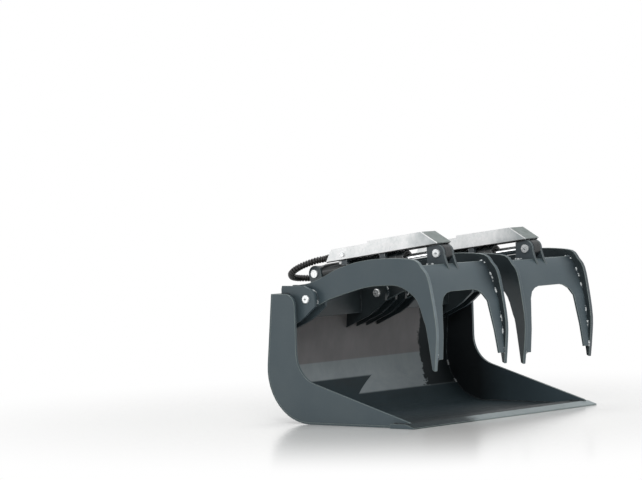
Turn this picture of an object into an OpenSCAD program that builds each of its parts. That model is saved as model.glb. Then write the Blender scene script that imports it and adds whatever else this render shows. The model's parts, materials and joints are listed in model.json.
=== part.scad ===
// Grapple bucket for a compact loader: a bent-sheet bucket with two separate grapples.
// Front (the cutting edge) is -Y, the width runs along X, +Z is up.
// The origin lies on the ground under the middle of the bucket.

/* [Bucket] */
// Outside width over both side plates
bucket_w = 1050; // [900:10:1400]
// Height of the back and of the side plates
bucket_h = 466; // [440:2:540]
// Depth from the side plates' front tips to the centre of the rear bend
floor_len = 457; // [430:1:540]
// Outside radius of the rear bend
bend_r = 192; // [160:1:210]
// Forward lean of the back, in degrees
back_lean = 5.7; // [2:0.1:9]
// Thickness of the bent shell
shell_t = 6; // [4:0.5:8]
// Thickness of the side plates
side_t = 10; // [6:1:12]
// Height of the side plates' front tips
tip_h = 21; // [19:1:40]
// Slope of the side plates' front edge, in degrees
side_slope = 16.1; // [12:0.1:18]
// Inside radius of the side plates' front corner
opening_r = 112; // [80:1:140]
// Depth of the side plates' front edge in front of the hinge's beam
upright_d = 43; // [30:1:60]

/* [Cutting edge] */
// Length of the cutting edge past each side plate
edge_overhang = 20; // [0:1:40]
// How far the edge stands in front of the side plates
edge_reach = 35; // [25:1:60]
// Depth of the edge bar, front to rear
edge_d = 106; // [90:1:160]
// Thickness of the edge bar
edge_t = 16; // [12:1:18]
// Depth of its bevel
bevel_d = 38; // [20:1:60]
// Height of its worn nose
nose_h = 4; // [2:0.5:8]

/* [Top beam] */
// Depth of the folded beam at its top
beam_d = 60; // [52:1:66]
// Height of the folded beam
beam_h = 92; // [80:1:100]
// Thickness of the folded beam
beam_t = 6; // [4:0.5:8]

/* [Grapple hinge] */
// Distance of the hinge axis in front of the beam
hinge_fwd = 77; // [77:1:90]
// Drop of the hinge axis below the bucket's top
hinge_drop = 19; // [14:1:26]
// Diameter of the hinge pins
pin_d = 30; // [24:1:34]
// Thickness of the hinge ears and of the brackets
ear_t = 12; // [8:1:14]
// Distance between the middles of the two ears of a hinge
ear_spacing = 60; // [50:1:64]
// Front radius of the hinge ears
ear_r = 39; // [36:1:42]
// Outside diameter of the tines' bushes
bush_d = 62; // [54:1:64]

/* [Grapples] */
// Distance from the side plates' outside to the middles of the outer tines
tine_margin = 63.5; // [62:0.5:80]
// Distance between the middles of the two inner tines
tine_gap = 117; // [110:1:150]
// Thickness of the tines
tine_t = 15; // [10:1:18]
// Forward reach of the tines' tips from the hinge
tine_reach = 555; // [540:1:580]
// Rise of the tines over the hinge
tine_rise = 147; // [140:1:150]
// Drop of the tips below the hinge
tine_drop = 249; // [220:1:260]
// Thickness of the bent cross plates
cross_t = 8; // [6:0.5:10]
// How much further closed the far grapple rests, in degrees
far_closed = 1.1; // [0:0.1:2]

/* [Cylinders] */
// Forward distance of the rod pin from the hinge
rod_pin_fwd = 438; // [436:1:440]
// Height of the rod pin over the hinge
rod_pin_up = 157; // [156:1:159]
// Distance of the rear pin behind the hinge
rear_pin_back = 130; // [128:1:132]
// Height of the rear pin over the hinge
rear_pin_up = 80; // [79:1:82]
// Outside diameter of the barrels
barrel_d = 60; // [58:1:62]
// Bore of the barrels
bore_d = 50; // [40:1:52]
// Distance from the rear pin to the front of the gland
barrel_len = 417; // [405:1:420]
// Diameter of the rods
rod_d = 30; // [25:1:32]
// Diameter of the cylinder pins
cyl_pin_d = 25; // [20:1:26]
// Outside diameter of the rod eyes
rod_eye_d = 64; // [62:1:65]
// Free play all round between the rod pin and the rod eye
eye_play = 8; // [7.4:0.1:9]
// Width of the cylinders' eyes
eye_w = 38; // [34:1:40]

/* [Cylinder covers] */
// Outside width of the folded covers
cover_w = 80; // [78:1:84]
// Thickness of the folded sheet
cover_t = 3; // [2:0.5:4]
// Height of the flanges' lower edge over the cylinder's axis
cover_low = 34.4; // [34:0.2:36]
// Height of the cover's top over the cylinder's axis
cover_top = 76; // [72:1:80]
// Thickness of the doubling plate on the front part
doubler_t = 8; // [4:1:10]

/* [Hoses] */
// Diameter of the jumper hose
jumper_d = 16; // [12:1:16]
// Diameter of each supply hose
supply_d = 13; // [10:1:13]
// Thickness of the spiral guards' strip
guard_t = 3; // [2:0.5:3]
// Loops of each spiral guard
guard_loops = 14; // [6:1:14]

/* [Hitch] */
// Distance from the bucket's middle to each hitch plate
hitch_x = 310; // [304:2:380]
// Thickness of the hitch plates
hitch_t = 15; // [10:1:20]
// Depth of the hitch plates behind the back
hitch_d = 93; // [86:1:110]
// Diameter of the locking pins' holes
lock_hole_d = 32; // [25:1:36]
// Diameter of the loader's bar in the hooks
hook_bar_d = 42; // [34:1:44]

/* [Hidden] */

near = -1;
far = 1;
// Overrun of every cut
cut = 2;
// Gap at welded and bolted joints
fit_gap = 0.1;
// Radial gap of a pin or rod in its hole
pin_gap = 0.05;
// Side gap of a piece that turns between two ears
side_gap = 0.3;
// Depth of the origin behind the side plates' front tips
origin_d = 325;
$fn = 64;

// Colours
slate = [0.30, 0.34, 0.37];
dark = [0.20, 0.23, 0.25];
zinc = [0.78, 0.79, 0.80];
steel = [0.62, 0.62, 0.62];
rubber = [0.08, 0.08, 0.08];

// Places in the side view: depth grows to the rear, height grows up
tip_y = -origin_d;
bend_y = tip_y + floor_len;
function wall_y(z, r) = bend_y + (r - (z - bend_r) * sin(back_lean)) / cos(back_lean);
back_y = wall_y(bucket_h, bend_r);
floor_y = tip_y + edge_d - edge_reach;
inner_x = bucket_w / 2 - side_t;
beam_y = wall_y(bucket_h, bend_r - shell_t) - beam_d;
beam_z = bucket_h - beam_h;
hinge = [beam_y - hinge_fwd, bucket_h - hinge_drop];
rear_pin = hinge + [rear_pin_back, rear_pin_up];
rod_pin = [-rod_pin_fwd, rod_pin_up];
tine_spacing = bucket_w / 2 - tine_margin - tine_gap / 2;
grapple_x = (tine_spacing + tine_gap) / 2;

function arc(c, r, a0, a1, n) =
    [for (i = [0:n]) c + r * [cos(a0 + (a1 - a0) * i / n), sin(a0 + (a1 - a0) * i / n)]];
function mid(a, b, c, d, t) =
    (2 * b + (c - a) * t + (2 * a - 5 * b + 4 * c - d) * t * t + (3 * b - a - 3 * c + d) * t * t * t) / 2;
function smooth(p, n) = concat(
    [for (i = [0:len(p) - 2]) for (k = [0:n - 1])
        mid(p[max(i - 1, 0)], p[i], p[i + 1], p[min(i + 2, len(p) - 1)], k / n)],
    [p[len(p) - 1]]);
function turn(p, a) = [p[0] * cos(a) - p[1] * sin(a), p[0] * sin(a) + p[1] * cos(a)];

// A plate drawn in the side view, from x0 to x0 + t
module side_view(x0, t) {
    translate([x0, 0, 0])
        rotate([90, 0, 90])
            linear_extrude(height = t) children();
}

// A round bar along the width
module x_bar(x0, p, r, l) {
    translate([x0, p[0], p[1]])
        rotate([0, 90, 0]) cylinder(r = r, h = l);
}

// A round bar along the depth, from y0 to y0 + l
module y_bar(x, y0, z, r, l) {
    translate([x, y0, z])
        rotate([-90, 0, 0]) cylinder(r = r, h = l);
}

// Bucket

// The bend is pressed in this many flats
bend_steps = 12;
// A right angle in degrees
right = 90;
function bend_line(r) = arc([bend_y, bend_r], r, -right, back_lean, bend_steps);

module bent_shell() {
    r = bend_r - shell_t;
    outer = concat([[floor_y + fit_gap, 0]], bend_line(bend_r), [[back_y, bucket_h]]);
    inner = concat([[floor_y + fit_gap, shell_t]], bend_line(r), [[wall_y(bucket_h, r), bucket_h]]);
    n = len(inner) - 1;
    color(slate)
        side_view(-bucket_w / 2, bucket_w)
            polygon(concat(outer, [for (i = [0:n]) inner[n - i]]));
}

// Rounding of the side plates' top front corner
top_corner_r = 45;
corner_steps = 8;

module side_plate(x0) {
    r = bend_r - shell_t - fit_gap;
    front = beam_y - upright_d;
    c = [front - opening_r,
        tip_h + (opening_r + (front - opening_r - tip_y) * sin(side_slope)) / cos(side_slope)];
    k = [front + top_corner_r, bucket_h - top_corner_r];
    rear = bend_line(r);
    n = len(rear) - 1;
    color(slate)
        side_view(x0, side_t)
            polygon(concat(
                [[tip_y, edge_t + fit_gap], [tip_y, tip_h]],
                arc(c, opening_r, side_slope - right, 0, corner_steps),
                arc(k, top_corner_r, 2 * right, right, corner_steps),
                [[wall_y(bucket_h, r), bucket_h]],
                [for (i = [0:n]) rear[n - i]],
                [[floor_y + fit_gap, shell_t + fit_gap], [floor_y + fit_gap, edge_t + fit_gap]]));
}

module cutting_edge() {
    y0 = tip_y - edge_reach;
    color(steel)
        side_view(-bucket_w / 2 - edge_overhang, bucket_w + 2 * edge_overhang)
            polygon([[y0, 0], [floor_y, 0], [floor_y, edge_t], [y0 + bevel_d, edge_t], [y0, nose_h]]);
}

// Folded channel along the inside of the back, closed by the back itself
module top_beam() {
    r = bend_r - shell_t - fit_gap;
    l = 2 * (inner_x - fit_gap);
    color(slate)
        side_view(-l / 2, l)
            difference() {
                polygon([[beam_y, bucket_h], [beam_y, beam_z], [wall_y(beam_z, r), beam_z],
                    [wall_y(bucket_h, r), bucket_h]]);
                polygon([[beam_y + beam_t, bucket_h - beam_t], [beam_y + beam_t, beam_z + beam_t],
                    [wall_y(beam_z, r) + beam_t, beam_z + beam_t],
                    [wall_y(bucket_h, r) + beam_t, bucket_h - beam_t]]);
            }
}

// Grapple hinge

// Outline of an ear from the hinge axis, in shares of its front radius
ear_top_shares = [[-0.42, 0.91], [0.31, 1.205], [2.9, 1.205], [2.98, 0.9]];
ear_low_shares = [[1.03, -2.1], [0.15, -1.54], [-0.56, -0.97], [-0.92, -0.69], [-0.99, -0.18]];
// Height of the ears' foot on the back under the beam
ear_foot_drop = 56;

module ear_outline() {
    r = bend_r - shell_t - fit_gap;
    foot_z = beam_z - ear_foot_drop;
    top = [for (s = ear_top_shares) hinge + s * ear_r];
    low = [for (s = ear_low_shares) hinge + s * ear_r];
    edge_y = top[3][0];
    translate(hinge) circle(r = ear_r);
    polygon(concat(
        top,
        [[edge_y, bucket_h + fit_gap], [beam_y - fit_gap, bucket_h + fit_gap],
            [beam_y - fit_gap, beam_z - fit_gap], [wall_y(beam_z, r), beam_z - fit_gap],
            [wall_y(foot_z, r), foot_z]],
        low));
}

module ears(x) {
    color(dark)
        for (side = [near, far])
            difference() {
                side_view(x + side * ear_spacing / 2 - ear_t / 2, ear_t) ear_outline();
                x_bar(x + side * ear_spacing / 2 - ear_t, hinge, pin_d / 2 + pin_gap, 2 * ear_t);
            }
}

// Height of a pin's bright head over the ear
pin_head_h = 8;
// Rounding of the pin's end
pin_chamfer = 2;
// Thickness, width and length of the flag that locks a pin
flag_t = 6;
flag_w = 26;
flag_l = 40;

// A bar along X from x0 with chamfered ends
module pin_bar(x0, p, r, l) {
    translate([x0, p[0], p[1]])
        rotate([0, 90, 0])
            rotate_extrude()
                polygon([[0, 0], [r - pin_chamfer, 0], [r, pin_chamfer], [r, l - pin_chamfer],
                    [r - pin_chamfer, l], [0, l]]);
}

// The flag points up and to the rear; its hole takes the lock bolt
flag_hole_share = 0.78;
flag_angle = 28;
bolt_d = 10;
function flag_hole(p) = p + flag_l * flag_hole_share * [cos(flag_angle), sin(flag_angle)];

module locked_pin(x, p, r, w) {
    l = w + pin_head_h + flag_t;
    color(zinc) {
        pin_bar(x - w / 2 - pin_head_h, p, r, l + 2 * pin_chamfer);
        difference() {
            translate([x + w / 2 + fit_gap, p[0], p[1]])
                rotate([flag_angle, 0, 0])
                    translate([0, 0, -flag_w / 2]) cube([flag_t - fit_gap, flag_l, flag_w]);
            x_bar(x + w / 2 - cut, flag_hole(p), bolt_d / 2 + pin_gap, flag_t + 2 * cut);
        }
    }
}

module hinge_pin(x) {
    locked_pin(x, hinge, pin_d / 2, ear_spacing + ear_t);
}

// Hexagon bolt head with its washer, against the flag
bolt_head_h = 6;
// Corner radius of the head in shares of the bolt's diameter
bolt_head_share = 0.9;
washer_d = 18;
washer_t = 1.6;

module flag_bolt(x, p) {
    q = flag_hole(p);
    color(steel) {
        x_bar(x + fit_gap, q, washer_d / 2, washer_t);
        translate([x + fit_gap + washer_t, q[0], q[1]])
            rotate([0, 90, 0]) cylinder(r = bolt_d * bolt_head_share, h = bolt_head_h, $fn = 6);
        x_bar(x - flag_t + fit_gap, q, bolt_d / 2, flag_t);
    }
}

module pin_bolts() {
    for (g = [near, far]) for (t = [near, far])
        flag_bolt(g * grapple_x + t * tine_spacing / 2 + (ear_spacing + ear_t) / 2 + flag_t, hinge);
}

// Cylinder brackets on the beam

bracket_r = 29;
bracket_front = 38;
bracket_rear = 14;

module bracket(x) {
    z0 = bucket_h + fit_gap;
    off = eye_w / 2 + side_gap + ear_t / 2;
    color(dark)
        for (side = [near, far])
            difference() {
                side_view(x + side * off - ear_t / 2, ear_t)
                    union() {
                        translate(rear_pin) circle(r = bracket_r);
                        polygon([[rear_pin[0] - bracket_front, z0],
                            [rear_pin[0] - bracket_r, rear_pin[1]], [rear_pin[0] + bracket_r, rear_pin[1]],
                            [rear_pin[0] + bracket_rear, z0]]);
                    }
                x_bar(x + side * off - ear_t, rear_pin, cyl_pin_d / 2 + pin_gap, 2 * ear_t);
            }
}

module bracket_pin(x) {
    w = eye_w + 2 * side_gap + 2 * ear_t;
    color(zinc) {
        pin_bar(x - w / 2, rear_pin, cyl_pin_d / 2, w + flag_t);
        x_bar(x - w / 2 - flag_t, rear_pin, pin_d / 2, flag_t - fit_gap);
        x_bar(x + w / 2 + fit_gap, rear_pin, pin_d / 2, flag_t);
    }
}

// Hitch on the back

// Heights of the hook and of the lock hole as shares of the bucket's height
hook_share = 0.76;
lock_share = 0.25;
// Material round the hook and the hole
hitch_rim = 18;
// Downward slope of the hook's mouth, in degrees
hook_tilt = 25;
// Width of the mouth in shares of the bar's diameter
hook_mouth_share = 0.96;

module hitch_plate(x0) {
    r = bend_r + fit_gap;
    yr = wall_y(bend_r, bend_r) + hitch_d;
    hook = [yr - hitch_rim - hook_bar_d / 2, bucket_h * hook_share];
    lock = [yr - hitch_rim - lock_hole_d / 2, bucket_h * lock_share];
    z_low = lock[1] - lock_hole_d / 2 - hitch_rim;
    z_top = hook[1] + hook_bar_d / 2 + hitch_rim;
    rear = bend_line(r);
    low = [for (p = rear) if (p[1] > z_low) p];
    color(dark)
        difference() {
            side_view(x0, hitch_t)
                polygon(concat(low, [[wall_y(z_top, r), z_top],
                    [yr - hitch_rim, z_top], [yr, z_top - hitch_rim],
                    [yr, z_low + hitch_rim], [yr - hitch_rim, z_low], [low[0][0], z_low]]));
            x_bar(x0 - cut, hook, hook_bar_d / 2, hitch_t + 2 * cut);
            translate([x0 - cut, hook[0], hook[1]])
                rotate([-hook_tilt, 0, 0])
                    translate([0, 0, -hook_bar_d * hook_mouth_share / 2])
                        cube([hitch_t + 2 * cut, hitch_d, hook_bar_d * hook_mouth_share]);
            x_bar(x0 - cut, lock, lock_hole_d / 2, hitch_t + 2 * cut);
        }
}

// Tube that ties the two hitch plates
tie_d = 48;
tie_t = 5;
// Its height as a share of the bend's radius
tie_share = 0.8;

module hitch_tube() {
    p = [wall_y(bend_r, bend_r) + fit_gap + tie_d / 2 + tie_t, bend_r * tie_share];
    l = 2 * hitch_x - hitch_t - 2 * fit_gap;
    color(dark)
        difference() {
            x_bar(-l / 2, p, tie_d / 2, l);
            x_bar(-l / 2 - cut, p, tie_d / 2 - tie_t, l + 2 * cut);
        }
}

// Grapples, drawn with the hinge axis as origin and the front at -Y

// Outline of a tine: forward share of its reach, height share of its rise or drop
tine_top_shares = [[-0.099, 0.34], [-0.02, 0.381], [0.065, 0.483], [0.133, 0.592], [0.202, 0.708],
    [0.337, 0.864], [0.47, 0.952], [0.569, 0.986], [0.706, 1], [0.86, 0.959], [0.915, 0.769],
    [0.96, 0.544], [0.993, 0.007], [1.02, -0.402], [1.013, -0.727], [1, -1]];
tine_low_shares = [[0.982, -0.98], [0.941, -0.418], [0.921, -0.285], [0.878, -0.032], [0.814, 0.177],
    [0.723, 0.327], [0.622, 0.347], [0.463, 0.299], [0.303, 0.157], [0.146, -0.008], [0.055, -0.09],
    [0, -0.06], [-0.055, 0.02], [-0.09, 0.16]];
tine_steps = 3;
function tine_point(s) = [-s[0] * tine_reach, s[1] * (s[1] > 0 ? tine_rise : tine_drop)];

module tine(x) {
    top = smooth([for (s = tine_top_shares) tine_point(s)], tine_steps);
    low = smooth([for (s = tine_low_shares) tine_point(s)], tine_steps);
    color(slate)
        difference() {
            side_view(x - tine_t / 2, tine_t) polygon(concat(top, low));
            x_bar(x - tine_t, [0, 0], bush_d / 2 + fit_gap, 2 * tine_t);
        }
}

module bushes(xm) {
    w = ear_spacing - ear_t - 2 * side_gap;
    color(dark)
        for (t = [near, far]) {
            x = xm + t * tine_spacing / 2;
            difference() {
                x_bar(x - w / 2, [0, 0], bush_d / 2, w);
                x_bar(x - w / 2 - cut, [0, 0], pin_d / 2 + pin_gap, w + 2 * cut);
            }
        }
}

// Side view of the cross plate's outer face: forward share of the reach, height share of the rise
// or drop. The rear end of its top flange comes first.
cross_shares = [[0.703, 0.782], [0.847, 0.81], [0.886, 0.667], [0.923, 0.36], [0.969, -0.088],
    [0.995, -0.51], [1.005, -0.839]];
// Arch in the front of the plate: half width and height, in shares of the tines' gap and of the reach
arch_shares = [[-0.44, -0.6], [-0.425, -0.4], [-0.34, -0.034], [-0.29, 0.012], [-0.23, 0.034],
    [-0.17, 0.043], [0.17, 0.043], [0.23, 0.034], [0.29, 0.012], [0.34, -0.034], [0.425, -0.4],
    [0.44, -0.6]];
arch_start_share = 0.8;
clevis_x = 25;
clevis_t = 10;
// The clevis plates hook round the rear of the flange in slots of this depth
slot_d = 28;
function inward(a, b) = let (v = (b - a) / norm(b - a)) [-v[1], v[0]];
function inset(p, d) = [for (i = [0:len(p) - 1])
    let (u = inward(p[max(i - 1, 0)], p[max(i, 1)]),
        v = inward(p[min(i, len(p) - 2)], p[min(i + 1, len(p) - 1)]))
        p[i] + d * (u + v) / (1 + u * v)];
function reversed(p) = [for (i = [1:len(p)]) p[len(p) - i]];

module cross_plate(xm) {
    face = [for (s = cross_shares) tine_point(s)];
    w = tine_spacing - tine_t - 2 * fit_gap;
    color(slate)
        difference() {
            side_view(xm - w / 2, w) polygon(concat(face, reversed(inset(face, cross_t))));
            translate([xm, -tine_reach * arch_start_share, 0])
                rotate([90, 0, 0])
                    linear_extrude(height = tine_reach)
                        polygon([for (s = arch_shares) [s[0] * w, s[1] * tine_reach]]);
            for (side = [near, far])
                translate([xm + side * clevis_x - clevis_t / 2 - fit_gap, face[0][0] - slot_d,
                    face[0][1] - 2 * cross_t])
                    cube([clevis_t + 2 * fit_gap, slot_d + cut, 4 * cross_t]);
        }
}

clevis_r = 31;
// Corners of a clevis plate, from the rod pin
clevis_top = [46, 21];
clevis_low = [46, -58];
clevis_front = [-40, -32];
clevis_side_shares = [0.97, 0.1];

module clevis(xm) {
    face = [for (s = cross_shares) tine_point(s)];
    skin = inset(face, -fit_gap);
    back = face[0][0] - slot_d + fit_gap;
    low = rod_pin + clevis_low;
    color(dark)
        for (side = [near, far])
            difference() {
                side_view(xm + side * clevis_x - clevis_t / 2, clevis_t)
                    difference() {
                        union() {
                            translate(rod_pin) circle(r = clevis_r);
                            polygon(concat(
                                [rod_pin + [0, clevis_r], rod_pin + clevis_top, low, [back, low[1]]],
                                [[back, skin[0][1]], skin[1], skin[2]],
                                [rod_pin + clevis_front, rod_pin - clevis_side_shares * clevis_r]));
                        }
                        polygon(concat(skin, reversed(inset(face, 3 * cross_t))));
                    }
                x_bar(xm + side * clevis_x - clevis_t, rod_pin, cyl_pin_d / 2 + pin_gap, 2 * clevis_t);
            }
}

module clevis_pin(xm) {
    w = 2 * clevis_x + clevis_t;
    color(zinc) {
        pin_bar(xm - w / 2, rod_pin, cyl_pin_d / 2, w + 2 * flag_t);
        x_bar(xm - w / 2 - pin_head_h, rod_pin, pin_d / 2, pin_head_h - fit_gap);
        x_bar(xm + w / 2 + fit_gap, rod_pin, pin_d / 2, flag_t);
    }
}

// Cylinders, drawn with the rear pin as origin and the axis along -Y

// Length from the rear pin to the rod pin, grapple at rest, and the axis's rise in degrees
function rod_place(a) = turn(rod_pin, a) - [rear_pin_back, rear_pin_up];
function rod_len(a) = norm(rod_place(a));
function rod_rise(a) = atan2(rod_place(a)[1], -rod_place(a)[0]);

eye_r = 28;
// Height of the neck between the eye and the barrel
neck_h = 39;
// The barrel proper starts at this distance from the rear pin and ends at the gland's collar
barrel_start = 34;
collar_len = 62;
rear_wall = 12;

module barrel(x) {
    l = barrel_len - collar_len;
    color(dark)
        difference() {
            union() {
                x_bar(x - eye_w / 2, [0, 0], eye_r, eye_w);
                y_bar(x, -l, 0, barrel_d / 2, l - barrel_start);
                translate([x - eye_w / 2, -barrel_start - cut, -neck_h / 2])
                    cube([eye_w, barrel_start, neck_h]);
            }
            x_bar(x - eye_w, [0, 0], cyl_pin_d / 2 + pin_gap, 2 * eye_w);
            y_bar(x, -l - cut, 0, bore_d / 2, l + cut - barrel_start - rear_wall);
        }
}

gland_d = 64;
spigot_len = 26;
groove_d = 3;

module gland(x) {
    l = barrel_len - collar_len;
    r = rod_d / 2 + pin_gap;
    color(dark)
        translate([x, -l - fit_gap, 0])
            rotate([90, 0, 0])
                rotate_extrude()
                    polygon([[r, -spigot_len], [bore_d / 2 - fit_gap, -spigot_len],
                        [bore_d / 2 - fit_gap, 0], [gland_d / 2, 0],
                        [gland_d / 2, collar_len / 2 - groove_d],
                        [gland_d / 2 - groove_d, collar_len / 2],
                        [gland_d / 2, collar_len / 2 + groove_d],
                        [gland_d / 2, collar_len - groove_d], [gland_d / 2 - groove_d, collar_len],
                        [r, collar_len]]);
}

// Distance of the piston's rear face from the rear pin, grapple at rest
piston_y = 160;
piston_t = 34;

module rod(x, l) {
    color(zinc)
        difference() {
            union() {
                x_bar(x - eye_w / 2, [-l, 0], rod_eye_d / 2, eye_w);
                y_bar(x, -l + rod_eye_d / 2 - cut, 0, rod_d / 2,
                    l - rod_eye_d / 2 + cut - piston_y - piston_t);
                y_bar(x, -piston_y - piston_t - cut, 0, rod_d / 3, piston_t + cut);
            }
            x_bar(x - eye_w, [-l, 0], cyl_pin_d / 2 + eye_play, 2 * eye_w);
        }
}

module piston(x) {
    color(steel)
        difference() {
            y_bar(x, -piston_y - piston_t + fit_gap, 0, bore_d / 2 - pin_gap, piston_t - fit_gap);
            y_bar(x, -piston_y - piston_t - cut, 0, rod_d / 3 + pin_gap, piston_t + 2 * cut);
        }
}

// Side view of a cover: its rear foot and rear top from the rear pin, the doubling step as a share of
// the barrel's length, the front top and front foot past the gland
cover_rear = [67, 98.2];
cover_step_share = 0.647;
cover_front = [106.3, 171];
cover_len = barrel_len + cover_front[1];

module cover(x) {
    s = concat(cover_rear, barrel_len * cover_step_share, barrel_len + cover_front[0], cover_len);
    w = cover_w - 2 * cover_t;
    top = cover_top + doubler_t;
    color(zinc)
        difference() {
            union() {
                side_view(x - cover_w / 2, cover_w)
                    polygon([[-s[0], cover_low], [-s[1], cover_top], [-s[3], cover_top],
                        [-s[4], cover_low]]);
                side_view(x - cover_w / 2, cover_w)
                    polygon([[-s[2], cover_top - cover_t], [-s[2], top], [-s[3], top],
                        [-s[4], cover_low + cover_t], [-s[4], cover_low], [-s[3], cover_top - cover_t]]);
            }
            side_view(x - w / 2, w)
                polygon([[cut, cover_low - cut], [cut, cover_top - cover_t],
                    [-s[3] + cover_t, cover_top - cover_t], [-s[4] + 2 * cover_t, cover_low - cut]]);
            for (side = [near, far])
                x_bar(x + side * cover_w / 2 - cut * 2, post_place, bolt_d / 2 + pin_gap, cut * 4);
        }
}

// The covers sit on two pairs of posts that are welded to the barrel
post_rear = 148.8;
post_hole_share = 0.4;
post_front_share = 0.79;
post_place = [-post_rear, cover_low + (cover_top - cover_low) * post_hole_share];
post_w = 24;

module cover_posts(x) {
    w = cover_w - 2 * cover_t - 2 * fit_gap;
    color(dark)
        difference() {
            union() {
                translate([x - w / 2, post_place[0] - post_w / 2, 0])
                    cube([w, post_w, cover_top - cover_t - fit_gap]);
                translate([x - w / 2, -barrel_len * post_front_share - post_w / 2, 0])
                    cube([w, post_w, cover_top - cover_t - fit_gap]);
            }
            y_bar(x, -cover_len, 0, barrel_d / 2 + fit_gap, cover_len);
            translate([x - w, -cover_len, -cut]) cube([2 * w, cover_len, barrel_d / 4]);
            for (side = [near, far])
                x_bar(x + side * w / 2 - bolt_d, post_place, bolt_d / 2 + pin_gap, 2 * bolt_d);
        }
    color(steel)
        for (side = [near, far]) {
            r = bolt_d / 2;
            translate([x + side * (cover_w / 2 + fit_gap + bolt_head_h / 2), post_place[0], post_place[1]])
                rotate([0, 90, 0]) cylinder(r = bolt_d * bolt_head_share, h = bolt_head_h, center = true, $fn = 6);
            translate([x + side * (cover_w / 2 - bolt_d / 2 + fit_gap), post_place[0], post_place[1]])
                rotate([0, 90, 0]) cylinder(r = r, h = bolt_d + cut, center = true);
        }
}

// Elbow fitting on the rear port, on top of the barrel under the cover
elbow = [-12, -118, 53];
elbow_r = 11;
ferrule_len = 20;

module elbow_fitting(x) {
    color(zinc)
        difference() {
            union() {
                translate([x + elbow[0], elbow[1], elbow[2]]) sphere(r = elbow_r);
                translate([x + elbow[0], elbow[1], 0]) cylinder(r = elbow_r, h = elbow[2]);
                y_bar(x + elbow[0], elbow[1], elbow[2], elbow_r, ferrule_len);
            }
            y_bar(x, -barrel_len, 0, barrel_d / 2 + fit_gap, barrel_len);
        }
}

// Valve block on the cylinder's far side, with the steel pipe to the gland's port
block_y = -134;
block_len = 34;
block_x = 56;
block_w = 30;
block_top = 60;
block_foot = 26;
pipe_r = 5;
pipe_z = 2;
pipe_x = 50;

module valve_block(x) {
    port_y = -barrel_len + collar_len / 4;
    color(steel)
        difference() {
            union() {
                translate([x + block_x - block_w / 2, block_y, -block_foot / 2])
                    cube([block_w, block_len, block_top + block_foot / 2]);
                translate([x + barrel_d / 4, block_y, -block_foot / 2])
                    cube([block_x - barrel_d / 4, block_len, block_foot + block_foot / 2]);
                y_bar(x + pipe_x, port_y, pipe_z, pipe_r, block_y - port_y + cut);
                translate([x, port_y, pipe_z])
                    rotate([0, 90, 0]) cylinder(r = elbow_r - cut, h = pipe_x + pipe_r + cut);
            }
            y_bar(x, -barrel_len, 0, barrel_d / 2 + fit_gap, barrel_len);
            y_bar(x, -barrel_len, 0, gland_d / 2 + fit_gap, collar_len + cut);
        }
}

// Hoses: a tube of round rings along a smooth line
hose_sides = 10;
hose_steps = 3;
function unit(v) = v / norm(v);
function along(p, i) = unit(p[min(i + 1, len(p) - 1)] - p[max(i - 1, 0)]);
// Each ring's first direction is the last ring's, made square to the line
function frames(p, n, i = 0) = i >= len(p) ? [] :
    let (t = along(p, i), m = unit(n - (n * t) * t)) concat([m], frames(p, m, i + 1));

module sweep(p, m, r, sides) {
    n = len(p);
    pts = [for (i = [0:n - 1]) for (k = [0:sides - 1])
        let (t = along(p, i), b = cross(t, m[i]), a = 360 * k / sides)
            p[i] + r * (cos(a) * m[i] + sin(a) * b)];
    polyhedron(
        points = concat(pts, [p[0], p[n - 1]]),
        faces = concat(
            [for (k = [0:sides - 1]) [n * sides, (k + 1) % sides, k]],
            [for (k = [0:sides - 1])
                [n * sides + 1, (n - 1) * sides + k, (n - 1) * sides + (k + 1) % sides]],
            [for (i = [0:n - 2]) for (k = [0:sides - 1])
                [i * sides + k, i * sides + (k + 1) % sides, (i + 1) * sides + k]],
            [for (i = [0:n - 2]) for (k = [0:sides - 1])
                [i * sides + (k + 1) % sides, (i + 1) * sides + (k + 1) % sides, (i + 1) * sides + k]]),
        convexity = 10);
}

// The jumper hose's way from the elbow to the valve block, from the rear pin
jumper_points = [[-12, -97.9, 53], [-12, -84, 53], [-12, -68, 51], [-16, -43.6, 48.2],
    [-28, -23.4, 46.9], [-44, -6.2, 43], [-59, 12.1, 38.1], [-70, 34.2, 31.2], [-73, 57.3, 22.9],
    [-64, 81.8, 14], [-46, 99.8, 8.4], [-22, 115.4, 2.7], [2, 120, -1.5], [23, 117.2, -4.2],
    [40, 104.7, -6.7], [50, 83.2, -9.3], [54, 65.5, -10.6], [55, 34, -8], [56, 10, -4],
    [56, -20, 0], [56, -50, 3], [56, -76, 4], [56, -99.9, 4]];

// Point and first direction at a share of a hose's rings
function between(p, u) =
    let (f = u * (len(p) - 1), i = min(floor(f), len(p) - 2)) p[i] + (f - i) * (p[i + 1] - p[i]);

// A winding: rings of a loop, sides of its strip
loop_rings = 24;
loop_sides = 6;
// Gap between a winding and its hose
wind_gap = 0.4;

// Helix round a line from share u0 to u1, at half widths a and b
function winding(p, m, a, b, u0, u1) = [for (i = [0:guard_loops * loop_rings])
    let (u = u0 + (u1 - u0) * i / (guard_loops * loop_rings), q = between(p, u),
        v = unit(between(m, u)), k = min(floor(u * (len(p) - 1)), len(p) - 2),
        w = cross(unit(p[k + 1] - p[k]), v), g = 360 * i / loop_rings)
        q + a * cos(g) * v + b * sin(g) * w];
// Least distance between strips that lie at least half a loop apart
function least_gap(p, d) = min([for (i = [0:2:len(p) - 1])
    for (j = [i + loop_rings / 2:2:min(i + 2 * loop_rings, len(p) - 1)]) norm(p[i] - p[j])]) - d;

// The winding's own first direction points away from its hose
function wind_frames(p) = frames(p, p[0] - p[loop_rings / 2]);

// Jumper hose of the near cylinder
jumper_guard_t = 4;
jumper_ends = [0.06, 0.94];
function jumper_line() = smooth(jumper_points, hose_steps);

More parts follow.
